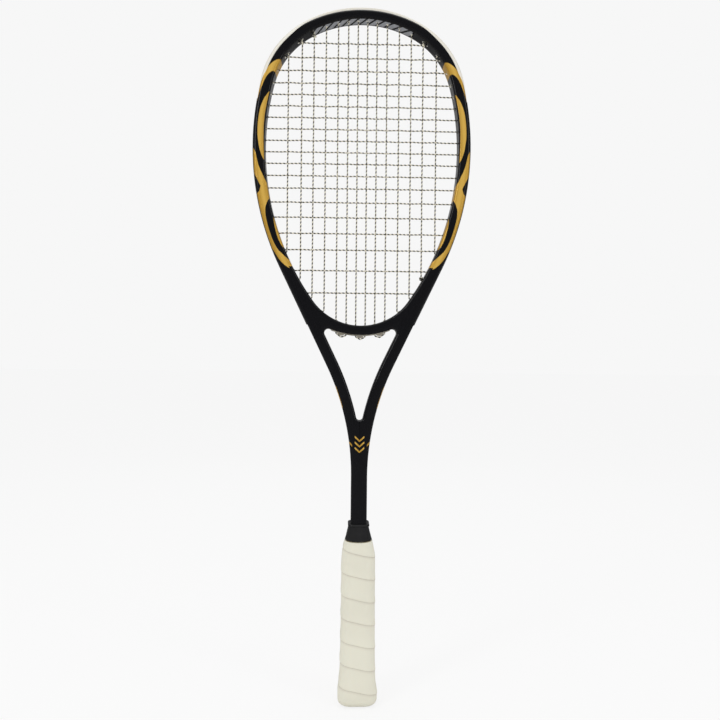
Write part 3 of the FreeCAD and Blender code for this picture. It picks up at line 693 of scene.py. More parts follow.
def shellStations(begin, end):
    count = max(2, int(round((end - begin) / (shell["stationStep"] * mm))) + 1)
    even = np.linspace(begin, end, count)
    turn = np.linspace(crotchAlong, crotchAlong + shell["crotchRun"] * mm, shell["crotchSteps"])
    extra = [side * t for side in (-1, 1) for t in turn if begin < side * t < end]
    return np.unique(np.concatenate((even, np.round(extra, 7))))


# Part of the tube's skin between two places along its outside
def tubeShell(name, begin, end, grooveTo):
    rings = []
    uvs = []
    for along in shellStations(begin, end):
        outerPoint, _ = tubeLine.at(along)
        inner, inRound = innerEdge(along)
        axis = outerPoint - inner
        width = np.linalg.norm(axis)
        axis = axis / width
        groove = shell["grooveDepth"] if abs(along) < grooveTo else 0.0
        section = tubeSection(width / mm, inRound, shell["outRound"], groove, head["halfDepth"])
        ring = [(inner[0] + axis[0] * n * mm, y * mm, inner[1] + axis[1] * n * mm) for n, y in section]
        rings.append(ring)
        uvs.append([(along, n * mm / width) for n, _ in section])
    return loftRings(name, rings, uvs, sharp=38.0)


def alongAtHeight(height):
    return halve(hoopEnd * 0.5, tubeLine.length, lambda along: tubeLine.at(along)[0][1] > height * mm)[0]


lacquered = lacquerMaterial()
sleeveAlong = alongAtHeight(shell["sleeveTop"])
grooveAlong = alongAtHeight(shell["grooveFoot"])
hairpin = tubeShell("hairpinTube", -sleeveAlong, sleeveAlong, grooveAlong)
sleeveLeft = tubeShell("sleeveLeft", -tubeLine.length, -sleeveAlong, 0.0)
sleeveRight = tubeShell("sleeveRight", sleeveAlong, tubeLine.length, 0.0)
sleeve = joinObjects([sleeveRight, sleeveLeft], "shaftSleeve")
print("tube and sleeve built")


bridge = {
    "underRadius": 80.0,
    "thickness": 9.3,
    "corner": 4.0,
    "depthSink": 0.04,
    "bury": 6.0,
    "round": 2.6,
    "tipHeading": 116.6,
}


# Lower edge of the bridge from the middle, round the throat's corner and into the arm
def bridgeUnderside():
    openingBottom = heelCentre - heelRadius
    centre = openingBottom - bridge["thickness"] + bridge["underRadius"]
    radius = bridge["underRadius"]
    # corner circle: touches the underside from below and the arm's inner edge from inside
    armEdge = np.array([armX, armZ]) - head["tubeSide"] * armOut
    r = bridge["corner"]
    normal = armOut
    hubs = [armEdge + step * 0.03 * np.array([armOut[1], -armOut[0]]) - r * normal for step in range(4000)]
    hub = min(hubs, key=lambda h: abs(math.hypot(h[0], h[1] - centre) - (radius + r)))
    away = np.array([hub[0], hub[1] - centre])
    away = away / np.linalg.norm(away)
    start = hub - away * r
    points = []
    for x in np.linspace(0, start[0], 34):
        points.append((x, centre - math.sqrt(radius ** 2 - x ** 2)))
    first = math.atan2(-away[1], -away[0])
    last = math.atan2(normal[1], normal[0])
    for turn in np.linspace(first, last, 14)[1:]:
        points.append((hub[0] + r * math.cos(turn), hub[1] + r * math.sin(turn)))
    end = hub + r * normal
    tip = opening.at(opening.atHeading(bridge["tipHeading"]))[0] / mm
    points.append(tuple(end + normal * bridge["bury"]))
    points.append(tuple(tip + normal * bridge["bury"]))
    return np.array(points)


def bridgePiece():
    low = bridgeUnderside()
    high = np.array([opening.at(a)[0] / mm
                     for a in np.linspace(opening.atHeading(bridge["tipHeading"]), opening.length, 70)])
    right = np.concatenate([low, high[:-1]])
    left = (right * np.array([-1.0, 1.0]))[::-1]
    outline = np.concatenate([right, [high[-1]], left[:-1]])
    along = np.roll(outline, -1, axis=0) - np.roll(outline, 1, axis=0)
    along = along / np.linalg.norm(along, axis=1)[:, None]
    inward = np.c_[-along[:, 1], along[:, 0]]
    deep = head["halfDepth"] - bridge["depthSink"]
    rounding = bridge["round"]
    rings = []
    for turn in np.radians(np.linspace(-90, 90, 17)):
        inset = rounding * (1 - math.cos(turn))
        y = (deep - rounding) * math.copysign(1, turn) + rounding * math.sin(turn) if turn else 0.0
        shifted = (outline + inward * inset) * mm
        rings.append([(x, y * mm, z) for x, z in shifted])
    uvs = [[(0.0, 0.5)] * len(outline)] * len(rings)
    return loftRings("throatBridge", rings, uvs, sharp=38.0)


throatBridge = bridgePiece()
print("bridge built")
for piece in (hairpin, sleeve, throatBridge):
    piece.data.materials.append(lacquered)
    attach(piece, "racket")
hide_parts("hairpin_tube")
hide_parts("shaft_sleeve")
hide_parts("throat_bridge")


# strings: distances of the mains from the middle and steps between the crosses
strings = {
    "mains": [4.7, 14.2, 24.2, 36.2, 48.2, 60.0, 73.4],
    "gaps": [22.4, 14.4, 12.9, 12.4, 11.4, 11.4, 11.4, 11.4, 11.4, 11.4, 11.4, 12.0, 12.4, 13.9, 14.9,
             15.9, 16.2, 20.5, 22.1],
    "bridgeMains": 3,
    "radius": 0.66,
    "weave": 0.64,
    "layer": 0.72,
    "inset": 1.8,
    "loopLift": -0.2,
    "farthest": 40.0,       # longest way from a bend to the groove
    "bend": 1.5,
    "sides": 10,
    "pitch": 3.9,           # one turn of the black spiral
    "cream": (0.82, 0.77, 0.63, 1.0),
    "second": (0.76, 0.71, 0.57, 1.0),
    "dark": (0.012, 0.012, 0.012, 1.0),
    "darkShare": 0.50,
}
underCentre = heelCentre - heelRadius - bridge["thickness"] + bridge["underRadius"]


# First point from start along way that lies this far outside a line, in millimetres
def toCurve(start, way, line, out):
    low, high = 0.0, strings["farthest"]
    for step in range(80):
        reach = strings["farthest"] * (step + 1) / 80
        spot = start + way * reach
        if line.offset(spot[0] * mm, spot[1] * mm) / mm > out:
            high = reach
            break
        low = reach

    def isShort(reach):
        spot = start + way * reach
        return line.offset(spot[0] * mm, spot[1] * mm) / mm < out

    return start + way * halve(low, high, isShort, 30)[1]


def fromMiddle(start, way):
    return start + way * halve(0.0, 400.0, lambda reach: insideOpening(start + way * reach))[1]


def insideOpening(spot):
    gap = opening.offset(spot[0] * mm, spot[1] * mm)
    if gap > 1e6:
        return True
    return gap < 0 or gap > 0.5


# Outward normal of an outline beside a point, from the gradient of its distance
def outAt(spot, line):
    small = 0.01
    gaps = [line.offset((spot[0] + dx) * mm, (spot[1] + dz) * mm)
            for dx, dz in ((small, 0), (-small, 0), (0, small), (0, -small))]
    way = np.array([gaps[0] - gaps[1], gaps[2] - gaps[3]])
    return way / np.linalg.norm(way)


def stringEnd(middle, way, lean):
    way = np.array(way, dtype=float)
    edge = fromMiddle(np.array(middle, dtype=float), way)
    bend = edge - way * strings["inset"]
    lead = way * (1 - lean) + outAt(edge, opening) * lean
    lead = lead / np.linalg.norm(lead)
    return {"bend": bend, "way": lead, "exit": toCurve(bend, lead, tubeLine, strings["loopLift"])}


middleHeight = sideCentre[1]
mainTops = [stringEnd((x, middleHeight), (0, 1), 0.5) for x in strings["mains"]]
mainBottoms = [stringEnd((x, middleHeight), (0, -1), 1.0) for x in strings["mains"]]
for end in mainBottoms[:strings["bridgeMains"]]:
    x = end["bend"][0]
    end["way"] = np.array([0.0, -1.0])
    end["exit"] = np.array([x, underCentre - math.sqrt((bridge["underRadius"] + 1.8) ** 2 - x ** 2)])
aimed = mainBottoms[strings["bridgeMains"]]
aimed["way"] = normalAt(head["armHeading"])
aimed["exit"] = toCurve(aimed["bend"], aimed["way"], tubeLine, strings["loopLift"])
crossHeights = list(openingTop - np.cumsum(strings["gaps"]))
crossEnds = [stringEnd((0, z), (1, 0), 0.5) for z in crossHeights]


# Middle points of a loop that follows the groove
def grooveRun(start, stop):
    side = math.copysign(1.0, start[0] + stop[0])
    start = np.array([abs(start[0]), start[1]])
    stop = np.array([abs(stop[0]), stop[1]])
    count = int(np.linalg.norm(stop - start) // 5.0)
    points = []
    for step in range(1, count + 1):
        spot = start + (stop - start) * step / (count + 1)
        out = outAt(spot, tubeLine)
        lift = strings["loopLift"] - tubeLine.offset(spot[0] * mm, spot[1] * mm) / mm
        points.append(np.array([side * (spot[0] + out[0] * lift), spot[1] + out[1] * lift]))
    return points


def underLoop(start, stop):
    middle = (start + stop) / 2
    rest = underCentre - math.sqrt((bridge["underRadius"] + 4.3) ** 2 - middle[0] ** 2)
    return [np.array([middle[0], rest])]


# Corner points of the main string
def mainRoute():
    right = []
    for index in range(len(strings["mains"])):
        top, bottom = mainTops[index], mainBottoms[index]
        run = [bottom["exit"], bottom["bend"], top["bend"], top["exit"]]
        goesUp = index % 2 == 0
        if not goesUp:
            run = run[::-1]
        if right:
            link = underLoop if goesUp and index < strings["bridgeMains"] else grooveRun
            right += link(right[-1], run[0])
        right += run
    stop = mainTops[-2]["exit"]
    right += grooveRun(right[-1], stop) + [stop]
    left = [p * flipX for p in right[::-1]]
    return left + underLoop(left[-1], right[0]) + right


def crossRoute():
    tieTop, tieBottom = mainTops[4], mainBottoms[5]
    points = [(tieTop["bend"] - tieTop["way"] * 1.7) * flipX, tieTop["exit"] * flipX]
    side = flipX
    for end in crossEnds:
        points += grooveRun(points[-1], end["exit"] * side)
        points += [end["exit"] * side, end["bend"] * side]
        side = side * flipX
        points += [end["bend"] * side, end["exit"] * side]
    points += grooveRun(points[-1], tieBottom["exit"])
    return points + [tieBottom["exit"], tieBottom["bend"] - tieBottom["way"] * 1.7]


# Evenly spaced points along a route with every corner rounded
def roundedRoute(points, step=2.2):
    dense = [points[0]]
    for before, spot, after in zip(points, points[1:], points[2:]):
        back = before - spot
        ahead = after - spot
        backLength, aheadLength = np.linalg.norm(back), np.linalg.norm(ahead)
        if min(backLength, aheadLength) < 1e-3:
            continue
        back, ahead = back / backLength, ahead / aheadLength
        turn = math.pi - math.acos(float(np.clip(back @ ahead, -1, 1)))
        if turn < 0.02:
            dense.append(spot)
            continue
        cut = min(strings["bend"] * math.tan(turn / 2), 0.45 * min(backLength, aheadLength))
        start, stop = spot + back * cut, spot + ahead * cut
        for share in np.linspace(0, 1, max(3, int(turn / 0.3))):
            dense.append(start * (1 - share) ** 2 + 2 * spot * share * (1 - share) + stop * share ** 2)
    dense.append(points[-1])
    filled = [dense[0]]
    for last, spot in zip(dense, dense[1:]):
        count = max(1, int(math.ceil(np.linalg.norm(spot - last) / step)))
        for share in np.arange(1, count + 1) / count:
            filled.append(last + (spot - last) * share)
    return np.array(filled)


# Depth of the string at each point of its route: over and under the other string
def weaveDepth(spots, isMain):
    depth = np.full(len(spots), -strings["layer"] if isMain else strings["layer"])
    lines = sorted([-x for x in strings["mains"]] + list(strings["mains"]))
    heights = crossHeights[::-1]
    own, other = (lines, heights) if isMain else (heights, lines)
    axis = 0 if isMain else 1
    for index, spot in enumerate(spots):
        near = min(range(len(own)), key=lambda k: abs(own[k] - spot[axis]))
        if abs(own[near] - spot[axis]) > 0.3 or not insideOpening(spot):
            continue
        crossing = [(there, (near + k) % 2) for k, there in enumerate(other)
                    if insideOpening(np.array([own[near], there][::1 if isMain else -1]))]
        flip = 1 if isMain else -1
        places = [there for there, _ in crossing]
        depths = [flip * strings["weave"] * (1 if odd else -1) for _, odd in crossing]
        run = spot[1 - axis]
        rest = depth[index]
        places = [places[0] - 7.0] + places + [places[-1] + 7.0]
        depths = [rest] + depths + [rest]
        if run <= places[0] or run >= places[-1]:
            continue
        k = int(np.searchsorted(places, run)) - 1
        k = max(0, min(k, len(places) - 2))
        share = (run - places[k]) / (places[k + 1] - places[k])
        share = 0.5 - 0.5 * math.cos(math.pi * min(1.0, max(0.0, share)))
        depth[index] = depths[k] + (depths[k + 1] - depths[k]) * share
    smooth = depth.copy()
    smooth[1:-1] = (depth[:-2] + 2 * depth[1:-1] + depth[2:]) / 4
    return smooth


# Round tube along a path, unwrapped with its length and its turn
def cordMesh(name, path, radius, sides):
    path = np.asarray(path)
    ahead = np.gradient(path, axis=0)
    ahead = ahead / np.linalg.norm(ahead, axis=1)[:, None]
    along = np.r_[0, np.cumsum(np.linalg.norm(np.diff(path, axis=0), axis=1))]
    up = np.array([0.0, 1.0, 0.0])
    rings = []
    uvs = []
    for spot, way, run in zip(path, ahead, along):
        across = np.cross(way, up)
        across = across / np.linalg.norm(across)
        lift = np.cross(across, way)
        turns = np.arange(sides) / sides
        rings.append([(spot + radius * (math.cos(2 * math.pi * t) * across
                                        + math.sin(2 * math.pi * t) * lift)) * mm for t in turns])
        uvs.append([(run * mm, t) for t in turns])
    return loftRings(name, rings, uvs, sharp=60.0)


# Small lumpy knot of two turns round a main
def knotBead(name, spot, depth, radius, length, way):
    turns = np.linspace(0, 4 * math.pi, 44)
    coil = np.array([[spot[0] + (radius - 0.55) * math.cos(t), depth + (radius - 0.55) * math.sin(t),
                      spot[1] + way * (0.6 + (length - 1.4) * t / (4 * math.pi))] for t in turns])
    return cordMesh(name, coil, 0.6, 8)


def stringMaterial():
    material, t, shader, coords = newMaterial("stringSpiral")
    x, y, _ = t.shapeUv()
    angle = t.times(y, 2 * math.pi)
    turn = t.maths("ARCTAN2", t.maths("SINE", angle), t.maths("COSINE", angle))
    turn = t.over(turn, 2 * math.pi)
    half = strings["darkShare"] / 2
    line = t.step(t.offMiddle(t.plus(t.over(x, strings["pitch"] * mm), turn)), half + 0.03, half - 0.03)
    tone = place(t, groups["tone"], Vector=coords, Color=strings["cream"], Second=strings["second"],
                 Scale=60.0)
    t.link(t.blend(line, tone.outputs["Color"], strings["dark"]), shader.inputs["Base Color"])
    height = addWear(t, shader, coords, 0.32, 0.15, 2500.0)
    addBump(t, shader, t.plus(height, line), 0.2, 0.00005)
    return material


def stringPiece(name, route, isMain, knots, node):
    spots = roundedRoute(route)
    depth = weaveDepth(spots, isMain)
    path = np.c_[spots[:, 0], depth, spots[:, 1]]
    parts = [cordMesh(name, path, strings["radius"], strings["sides"])]
    for index, (spot, depthAt, radius, way) in enumerate(knots):
        parts.append(knotBead(name + str(index), spot, depthAt, radius, 3.4, way))
    piece = joinObjects(parts, name)
    piece.data.materials.append(spiralMaterial)
    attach(piece, "racket")
    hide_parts(node)
    return piece


spiralMaterial = stringMaterial()
knotSpot = mainTops[5]["bend"]
stringPiece("mainString", mainRoute(), True,
            [(knotSpot, -1.1, 1.7, -1), (knotSpot * flipX, -1.1, 1.7, -1)], "main_string")
stringPiece("crossString", crossRoute(), False,
            [(mainTops[4]["bend"] * flipX, 0.0, 2.0, -1), (mainBottoms[5]["bend"], 0.0, 2.0, 1)],
            "cross_string")
print("strings woven")


# clip-in bumper over the top of the head, and its barrels
bumper = {
    "topReach": 2.6,
    "sideReach": 1.0,
    "endHeading": 80.0,
    "endReach": 0.3,
    "topDepth": 6.8,
    "sideDepth": 9.86,
    "sideFlange": 1.9,
    "taper": 16.0,
    "color": (0.80, 0.775, 0.70, 1.0),
    "second": (0.76, 0.73, 0.65, 1.0),
}
barrel = {"out": 1.68, "bore": 0.95, "start": 1.6, "length": 7.0, "chamfer": 0.3}


# Right half of the section: distance outside the tube and depth; share 0 at the top, 1 on the shoulders
def bumperSection(share, fade):
    reach = bumper["topReach"] + (bumper["sideReach"] - bumper["topReach"]) * share
    reach = reach * fade + bumper["endReach"] * (1 - fade)
    depth = bumper["topDepth"] + (bumper["sideDepth"] - bumper["topDepth"]) * share
    rounding = 0.8 + 2.7 * share
    flange = bumper["sideFlange"] * share * fade
    depth = depth * fade + (bumper["topDepth"] - 1.5) * (1 - fade)
    rounding = rounding * fade + 0.5 * (1 - fade)
    half = [(-1.2, 0.0), (-1.2, 2.0), (reach - 0.4, 2.05), (reach - 0.1, 2.2), (reach, 2.5), (reach, 3.4)]
    half += corner(reach - rounding, depth - rounding, rounding, 0, 90, 9)
    edge = min(-0.2 - flange, reach - rounding - 0.2)
    half += [(edge, depth), (edge - 0.2, depth - 0.15), (edge - 0.25, depth - 0.6), (-2.4, 5.2), (-1.7, 3.05),
             (-2.2, 2.95), (-2.2, 0.0)]
    return half


def bumperPiece():
    end = tubeLine.atHeading(bumper["endHeading"])
    rings = []
    for along in shellStations(-end, end):
        spot, out = tubeLine.at(along)
        heading = tubeLine.heading(abs(along))
        share = min(1.0, max(0.0, (heading - 8.0) / 38.0))
        share = share * share * (3 - 2 * share)
        fade = min(1.0, (end - abs(along)) / (bumper["taper"] * mm * 2.2))
        fade = math.sin(fade * math.pi / 2)
        half = bumperSection(share, fade)
        section = half + [(n, -y) for n, y in half[-2:0:-1]]
        rings.append([(spot[0] + out[0] * n * mm, y * mm, spot[1] + out[1] * n * mm) for n, y in section])
    return loftRings("bumperGuard", rings, sharp=32.0)


# One flanged tube that lines a string hole
def barrelPiece(name, end, side, depth):
    profile = [(barrel["start"] + 0.3, barrel["bore"]), (barrel["start"], barrel["bore"] + 0.15),
               (barrel["start"], barrel["out"] - barrel["chamfer"]),
               (barrel["start"] + barrel["chamfer"], barrel["out"]),
               (barrel["length"], barrel["out"]), (barrel["length"], barrel["bore"])]
    way = np.array([end["way"][0] * side, 0.0, end["way"][1]])
    start = np.array([end["bend"][0] * side, depth, end["bend"][1]])
    front = np.array([0.0, 1.0, 0.0])
    across = np.cross(way, front)
    turns = np.linspace(0, 2 * math.pi, 16, endpoint=False)
    rings = [[(start + way * run + radius * (math.cos(t) * across + math.sin(t) * front)) * mm
              for t in turns] for run, radius in profile]
    verts = np.concatenate([np.asarray(r) for r in rings])
    return newObject(name, verts, gridFaces(len(profile), 16, closeRows=True), sharp=30.0)


def barrelSet(name, chosen):
    parts = []
    for index, (end, side, depth) in enumerate(chosen):
        parts.append(barrelPiece(name + str(index), end, side, depth))
    return joinObjects(parts, name)


bumperMaterial = plainFinish("bumperNylon", {
    "color": bumper["color"], "second": bumper["second"], "toneScale": 30.0, "roughness": 0.38, "wear": 0.12,
    "grain": 1500.0, "bump": 0.15, "bumpHeight": 0.00003, "subsurface": 0.08})
bumperGuard = bumperPiece()
endZ = tubeLine.at(tubeLine.atHeading(bumper["endHeading"]))[0][1] / mm
chosen = []
for side in (-1, 1):
    for index, end in enumerate(mainTops):
        shared = index == 4 and side < 0
        chosen.append((end, side, 0.0 if shared else -strings["layer"]))
    for end in crossEnds:
        if end["exit"][1] > endZ:
            chosen.append((end, side, strings["layer"]))
bumperBarrels = barrelSet("bumperBarrels", chosen)
for piece in (bumperGuard, bumperBarrels):
    piece.data.materials.append(bumperMaterial)
    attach(piece, "racket")
    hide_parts("bumper_guard")
print("bumper built")


# wound grip: every turn laps over the one below it
grip = {
    "low": 0.9,
    "high": 161.0,
    "pitch": 22.2,
    "seamHeight": 154.6,        # height of a seam at the left edge
    "lap": 0.55,
    "seamWidth": 0.9,
    "fade": 9.0,
    "columns": 144,
    "rowStep": 0.6,
    "color": (0.80, 0.78, 0.66, 1.0),
    "second": (0.765, 0.745, 0.63, 1.0),
    # seam colour, used for the seam lines and also for the painted shadow under each lapped edge
    "seam": (0.50, 0.44, 0.37, 1.0),
}
# height, half width, half depth, corner radius of the wound handle
gripForm = [(0.9, 15.6, 13.2, 9.0), (1.8, 17.2, 14.7, 9.6), (3.4, 18.6, 16.0, 10.0),
            (6.0, 19.5, 16.8, 10.4), (12.0, 19.6, 16.9, 10.6), (17.0, 18.9, 16.4, 10.4),
            (24.0, 18.1, 15.9, 10.4), (32.0, 17.7, 15.2, 10.4),
            (50.0, 17.3, 14.8, 10.4), (100.0, 16.9, 14.6, 10.4), (142.0, 16.8, 14.5, 10.4),
            (150.0, 16.1, 14.4, 11.5), (156.0, 14.9, 14.2, 12.8), (161.0, 13.8, 13.8, 13.2)]


# Distance from the middle to the outline of a round-cornered rectangle
def roundedRadius(turn, halfWidth, halfDepth, rounding):
    c, d = abs(math.cos(turn)), abs(math.sin(turn))
    flatX, flatY = halfWidth - rounding, halfDepth - rounding
    reach = min(halfWidth / max(c, 1e-9), halfDepth / max(d, 1e-9))
    x, y = reach * c, reach * d
    if x > flatX and y > flatY:
        along = c * flatX + d * flatY
        reach = along + math.sqrt(max(0.0, along ** 2 - flatX ** 2 - flatY ** 2 + rounding ** 2))
    return reach


def gripPiece():
    heights = np.arange(grip["low"], grip["high"] + 0.01, grip["rowStep"])
    form = np.array(gripForm)
    turns = np.linspace(0, 2 * math.pi, grip["columns"], endpoint=False)
    rings = []
    for z in heights:
        w, d, r = (np.interp(z, form[:, 0], form[:, k]) for k in (1, 2, 3))
        ring = []
        for turn in turns:
            reach = roundedRadius(turn, w, d, r)
            share = ((turn - math.pi) / (2 * math.pi)) % 1.0
            above = (z - grip["seamHeight"] + grip["pitch"] * share) % grip["pitch"]
            lift = grip["lap"] * max(0.0, 1 - above / grip["fade"]) ** 1.5
            if above < grip["seamWidth"]:
                lift *= math.sin(above / grip["seamWidth"] * math.pi / 2) ** 0.7
            if grip["pitch"] - above < 0.8:
                lift -= 0.18 * (1 - (grip["pitch"] - above) / 0.8)
            reach += lift - grip["lap"] * 0.4
            ring.append((reach * math.cos(turn) * mm, reach * math.sin(turn) * mm, z * mm))
        rings.append(ring)
    return loftRings("gripWrap", rings, sharp=60.0)


def gripMaterial():
    material, t, shader, coords = newMaterial("gripTape")
    x, y, z = t.split(coords)
    pitch = grip["pitch"]
    turn = t.maths("ARCTAN2", y, x)
    share = t.maths("FRACT", t.plus(t.over(t.minus(turn, math.pi), 2 * math.pi), 1.0))
    climb = t.plus(t.over(t.minus(z, grip["seamHeight"] * mm), pitch * mm), share)
    above = t.times(t.maths("FRACT", t.plus(climb, 20.0)), pitch)
    line = t.larger(t.step(above, 0.55, 0.15), t.step(above, pitch - 0.35, pitch - 0.1))
    # painted shadow: the tape darkens towards the seam colour just under the lapped edge of the turn above
    shade = t.step(above, pitch - 3.0, pitch)
    tone = place(t, groups["tone"], Vector=coords, Color=grip["color"], Second=grip["second"], Scale=24.0)
    color = t.blend(t.times(shade, 0.25), tone.outputs["Color"], grip["seam"])
    color = t.blend(t.times(line, 0.55), color, grip["seam"])
    t.link(color, shader.inputs["Base Color"])
    addWear(t, shader, coords, 0.62, 0.12, 1600.0)
    pores = t.add("ShaderNodeTexVoronoi")
    t.link(coords, pores.inputs["Vector"])
    pores.inputs["Scale"].default_value = 1300.0
    creases = t.noise(coords, 90.0, 5.0)
    height = t.plus(t.times(pores.outputs["Distance"], 0.35), t.times(creases, 0.9))
    addBump(t, shader, height, 0.35, 0.00025)
    shader.inputs["Subsurface Weight"].default_value = 0.06
    shader.inputs["Subsurface Radius"].default_value = (0.002, 0.0016, 0.0012)
    shader.inputs["Specular IOR Level"].default_value = 0.3
    return material


gripWrap = gripPiece()
gripWrap.data.materials.append(gripMaterial())
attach(gripWrap, "racket")
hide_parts("grip_wrap")
print("grip wound")


# rubber collar
collar = {
    "foot": 161.4,
    "height": 16.4,
    "footWidth": 13.35,
    "neckWidth": 9.8,
    "neckDepth": 11.4,
    "bead": 0.75,
    "beadHeight": 2.5,
    "wall": 1.5,
    "boreWidth": 8.0,
    "boreDepth": 9.6,
    "color": (0.014, 0.014, 0.015, 1.0),
    "second": (0.022, 0.022, 0.023, 1.0),
}


def collarPiece():
    foot, tall = collar["foot"], collar["height"]
    outside = []
    for share in np.linspace(0, 1, 12):
        flare = (1 - share) ** 1.15
        width = collar["neckWidth"] + (collar["footWidth"] - collar["neckWidth"]) * flare
        depth = collar["neckDepth"] + (collar["footWidth"] - collar["neckDepth"]) * flare
        outside.append((foot + share * (tall - collar["beadHeight"]), width, depth))
    neck = outside[-1]
    for turn in np.radians(np.linspace(-60, 90, 8)):
        grow = collar["bead"] * math.cos(turn)
        rise = collar["beadHeight"] / 2 * (1 + math.sin(turn))
        outside.append((neck[0] + rise, neck[1] + grow, neck[2] + grow))
    outside[0] = (foot + 0.35, outside[0][1], outside[0][2])
    outside.insert(0, (foot, outside[0][1] - 0.35, outside[0][2] - 0.35))
    inside = [(foot + tall, collar["boreWidth"], collar["boreDepth"]),
              (foot + tall * 0.6, collar["boreWidth"], collar["boreDepth"]),
              (foot + tall * 0.55, collar["boreWidth"] + 0.5, collar["boreDepth"] + 0.5),
              (foot, collar["footWidth"] - collar["wall"], collar["footWidth"] - collar["wall"])]
    turns = np.linspace(0, 2 * math.pi, 96, endpoint=False)
    rings = []
    for z, width, depth in outside + inside:
        ring = []
        for turn in turns:
            share = min(1.0, (z - foot) / (tall * 0.8))
            reach = roundedRadius(turn, width, depth, min(width, depth) * (0.97 - 0.5 * share))
            ring.append((reach * math.cos(turn) * mm, reach * math.sin(turn) * mm, z * mm))
        rings.append(ring)
    verts = np.concatenate([np.asarray(r) for r in rings])
    return newObject("gripCollar", verts, gridFaces(len(rings), 96, closeRows=True), sharp=50.0)


gripCollar = collarPiece()
gripCollar.data.materials.append(plainFinish("collarRubber", {
    "color": collar["color"], "second": collar["second"], "toneScale": 60.0, "roughness": 0.42, "wear": 0.18,
    "grain": 2200.0, "bump": 0.25, "bumpHeight": 0.00004, "specular": 0.4}))
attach(gripCollar, "grip_collar")
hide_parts("grip_collar")
print("collar built")


# finishes of the pieces that keep their CAD shape
finishes = {
    "grommet_nylon": {"color": (0.42, 0.385, 0.31, 1.0), "second": (0.36, 0.33, 0.27, 1.0), "toneScale": 60.0,
                      "roughness": 0.34, "wear": 0.15, "grain": 1800.0, "bump": 0.2, "bumpHeight": 0.00003,
                      "subsurface": 0.15},
    "side_nylon": {"color": (0.035, 0.035, 0.036, 1.0), "second": (0.05, 0.05, 0.05, 1.0), "toneScale": 60.0,
                   "roughness": 0.34, "wear": 0.15, "grain": 1800.0, "bump": 0.2, "bumpHeight": 0.00003},
    "plug_foam": {"color": (0.05, 0.05, 0.05, 1.0), "second": (0.08, 0.08, 0.08, 1.0), "toneScale": 300.0,
                  "roughness": 0.9, "wear": 0.1, "grain": 900.0, "bump": 0.8, "bumpHeight": 0.0003},
    "pallet_foam": {"color": (0.38, 0.33, 0.22, 1.0), "second": (0.33, 0.28, 0.18, 1.0), "toneScale": 120.0,
                    "roughness": 0.8, "wear": 0.1, "grain": 1400.0, "bump": 0.6, "bumpHeight": 0.0002},
    "cap_plastic": {"color": (0.70, 0.68, 0.58, 1.0), "second": (0.66, 0.64, 0.54, 1.0), "toneScale": 40.0,
                    "roughness": 0.45, "wear": 0.15, "grain": 1500.0, "bump": 0.15, "bumpHeight": 0.00004},
    "tape": {"color": (0.03, 0.03, 0.03, 1.0), "second": (0.04, 0.04, 0.04, 1.0), "toneScale": 80.0,
             "roughness": 0.4, "wear": 0.15, "grain": 1200.0, "bump": 0.3, "bumpHeight": 0.00005},
    "staple_steel": {"color": (0.55, 0.55, 0.56, 1.0), "second": (0.48, 0.48, 0.49, 1.0), "toneScale": 200.0,
                     "roughness": 0.3, "wear": 0.2, "grain": 2500.0, "bump": 0.2, "bumpHeight": 0.00002},
}
dressed = {
    "bridge_grommet_strip": ("grommet_nylon", "grommet_nylon"),
    "side_grommet_strip_right": ("side_nylon", "grommet_nylon"),
    "side_grommet_strip_left": ("side_nylon", "grommet_nylon"),
    "bridge_foam_cores": ("plug_foam", "plug_foam"),
    "leg_plug_right": ("plug_foam", "plug_foam"),
    "leg_plug_left": ("plug_foam", "plug_foam"),
    "handle_pallet_front": ("pallet_foam", "pallet_foam"),
    "handle_pallet_back": ("pallet_foam", "pallet_foam"),
    "butt_cap": ("cap_plastic", "cap_plastic"),
    "butt_cap_staples": ("staple_steel", "staple_steel"),
    "finishing_tape": ("tape", "tape"),
}
made = {}
for node, (finish, slotName) in dressed.items():
    if finish not in made:
        made[finish] = plainFinish(finish, finishes[finish])
    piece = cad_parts[node]
    piece.data.materials.clear()
    piece.data.materials.append(made[finish])
made["staple_steel"].node_tree.nodes["Principled BSDF"].inputs["Metallic"].default_value = 1.0
print("CAD pieces finished")


stage = {
    "floorColor": (0.93, 0.93, 0.93, 1.0),
    "reach": 30.0,
    "backdrop": 0.93,       # brightness of the surroundings to the camera
    "ambient": 0.78,        # and as light
    "mirrored": 0.10,       # and in reflections
}


# position, target, size, power
lights = {
    "keyLeft": ((-0.9, -0.9, 1.25), (0, 0, 0.45), (0.25, 1.2), 4.0),
    "fillRight": ((1.0, -0.8, 0.9), (0, 0, 0.4), (0.3, 1.2), 2.0),
    "top": ((0.0, -0.2, 1.7), (0, 0, 0.3), (1.4, 0.8), 3.0),
    "back": ((0.0, 1.4, 1.0), (0, 0, 0.4), (1.2, 1.0), 0.8),
}


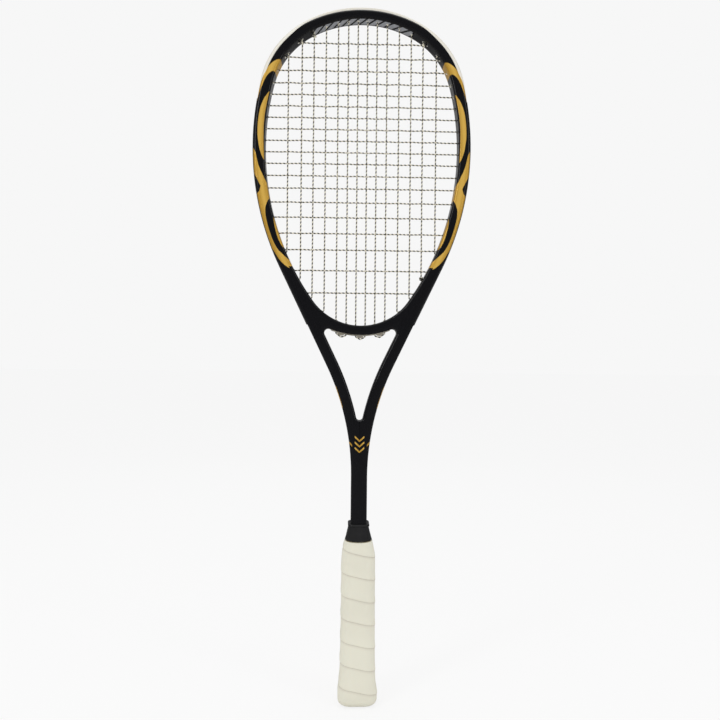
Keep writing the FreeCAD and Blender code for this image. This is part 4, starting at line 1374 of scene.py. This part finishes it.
def buildStage():
    reach = stage["reach"]
    verts = [(-reach, -reach, 0), (reach, -reach, 0), (reach, reach, 0), (-reach, reach, 0)]
    floor = newObject("floor", verts, [(0, 1, 2, 3)])
    material, t, shader, coords = newMaterial("paleFloor")
    shader.inputs["Roughness"].default_value = 0.8
    shader.inputs["Specular IOR Level"].default_value = 0.0
    speckle = t.noise(coords, 40.0, 4.0)
    pale = t.blend(speckle, (0.92, 0.92, 0.92, 1.0), stage["floorColor"])
    path = t.add("ShaderNodeLightPath")
    faced = t.larger(path.outputs["Is Camera Ray"], path.outputs["Is Glossy Ray"])
    t.link(t.blend(faced, pale, (0.17, 0.17, 0.17, 1.0)), shader.inputs["Base Color"])
    shader.inputs["Emission Color"].default_value = (1.0, 1.0, 1.0, 1.0)
    t.link(t.times(path.outputs["Is Camera Ray"], 0.79), shader.inputs["Emission Strength"])
    floor.data.materials.append(material)


def addLight(name, position, target, size, power):
    data = bpy.data.lights.new(name, "AREA")
    data.shape = "RECTANGLE"
    data.size = size[0]
    data.size_y = size[1]
    data.energy = power
    light = bpy.data.objects.new(name, data)
    bpy.context.collection.objects.link(light)
    light.location = position
    aim = Vector(target) - Vector(position)
    light.rotation_euler = aim.to_track_quat("-Z", "Y").to_euler()


def buildWorld():
    world = bpy.data.worlds.new("studio")
    world.use_nodes = True
    bpy.context.scene.world = world
    t = Tree(world.node_tree)
    background = world.node_tree.nodes["Background"]
    path = t.add("ShaderNodeLightPath")
    seen = t.times(path.outputs["Is Camera Ray"], stage["backdrop"])
    mirrored = t.times(path.outputs["Is Glossy Ray"], stage["mirrored"])
    rest = t.minus(t.minus(1.0, path.outputs["Is Camera Ray"]), path.outputs["Is Glossy Ray"],
                   clamp=True)
    total = t.plus(t.plus(seen, mirrored), t.times(rest, stage["ambient"]))
    t.link(total, background.inputs["Strength"])
    background.inputs["Color"].default_value = (1.0, 1.0, 1.0, 1.0)


buildStage()
buildWorld()
for name, setting in lights.items():
    addLight(name, *setting)
bpy.context.scene.view_settings.view_transform = "Standard"
print("stage lit")
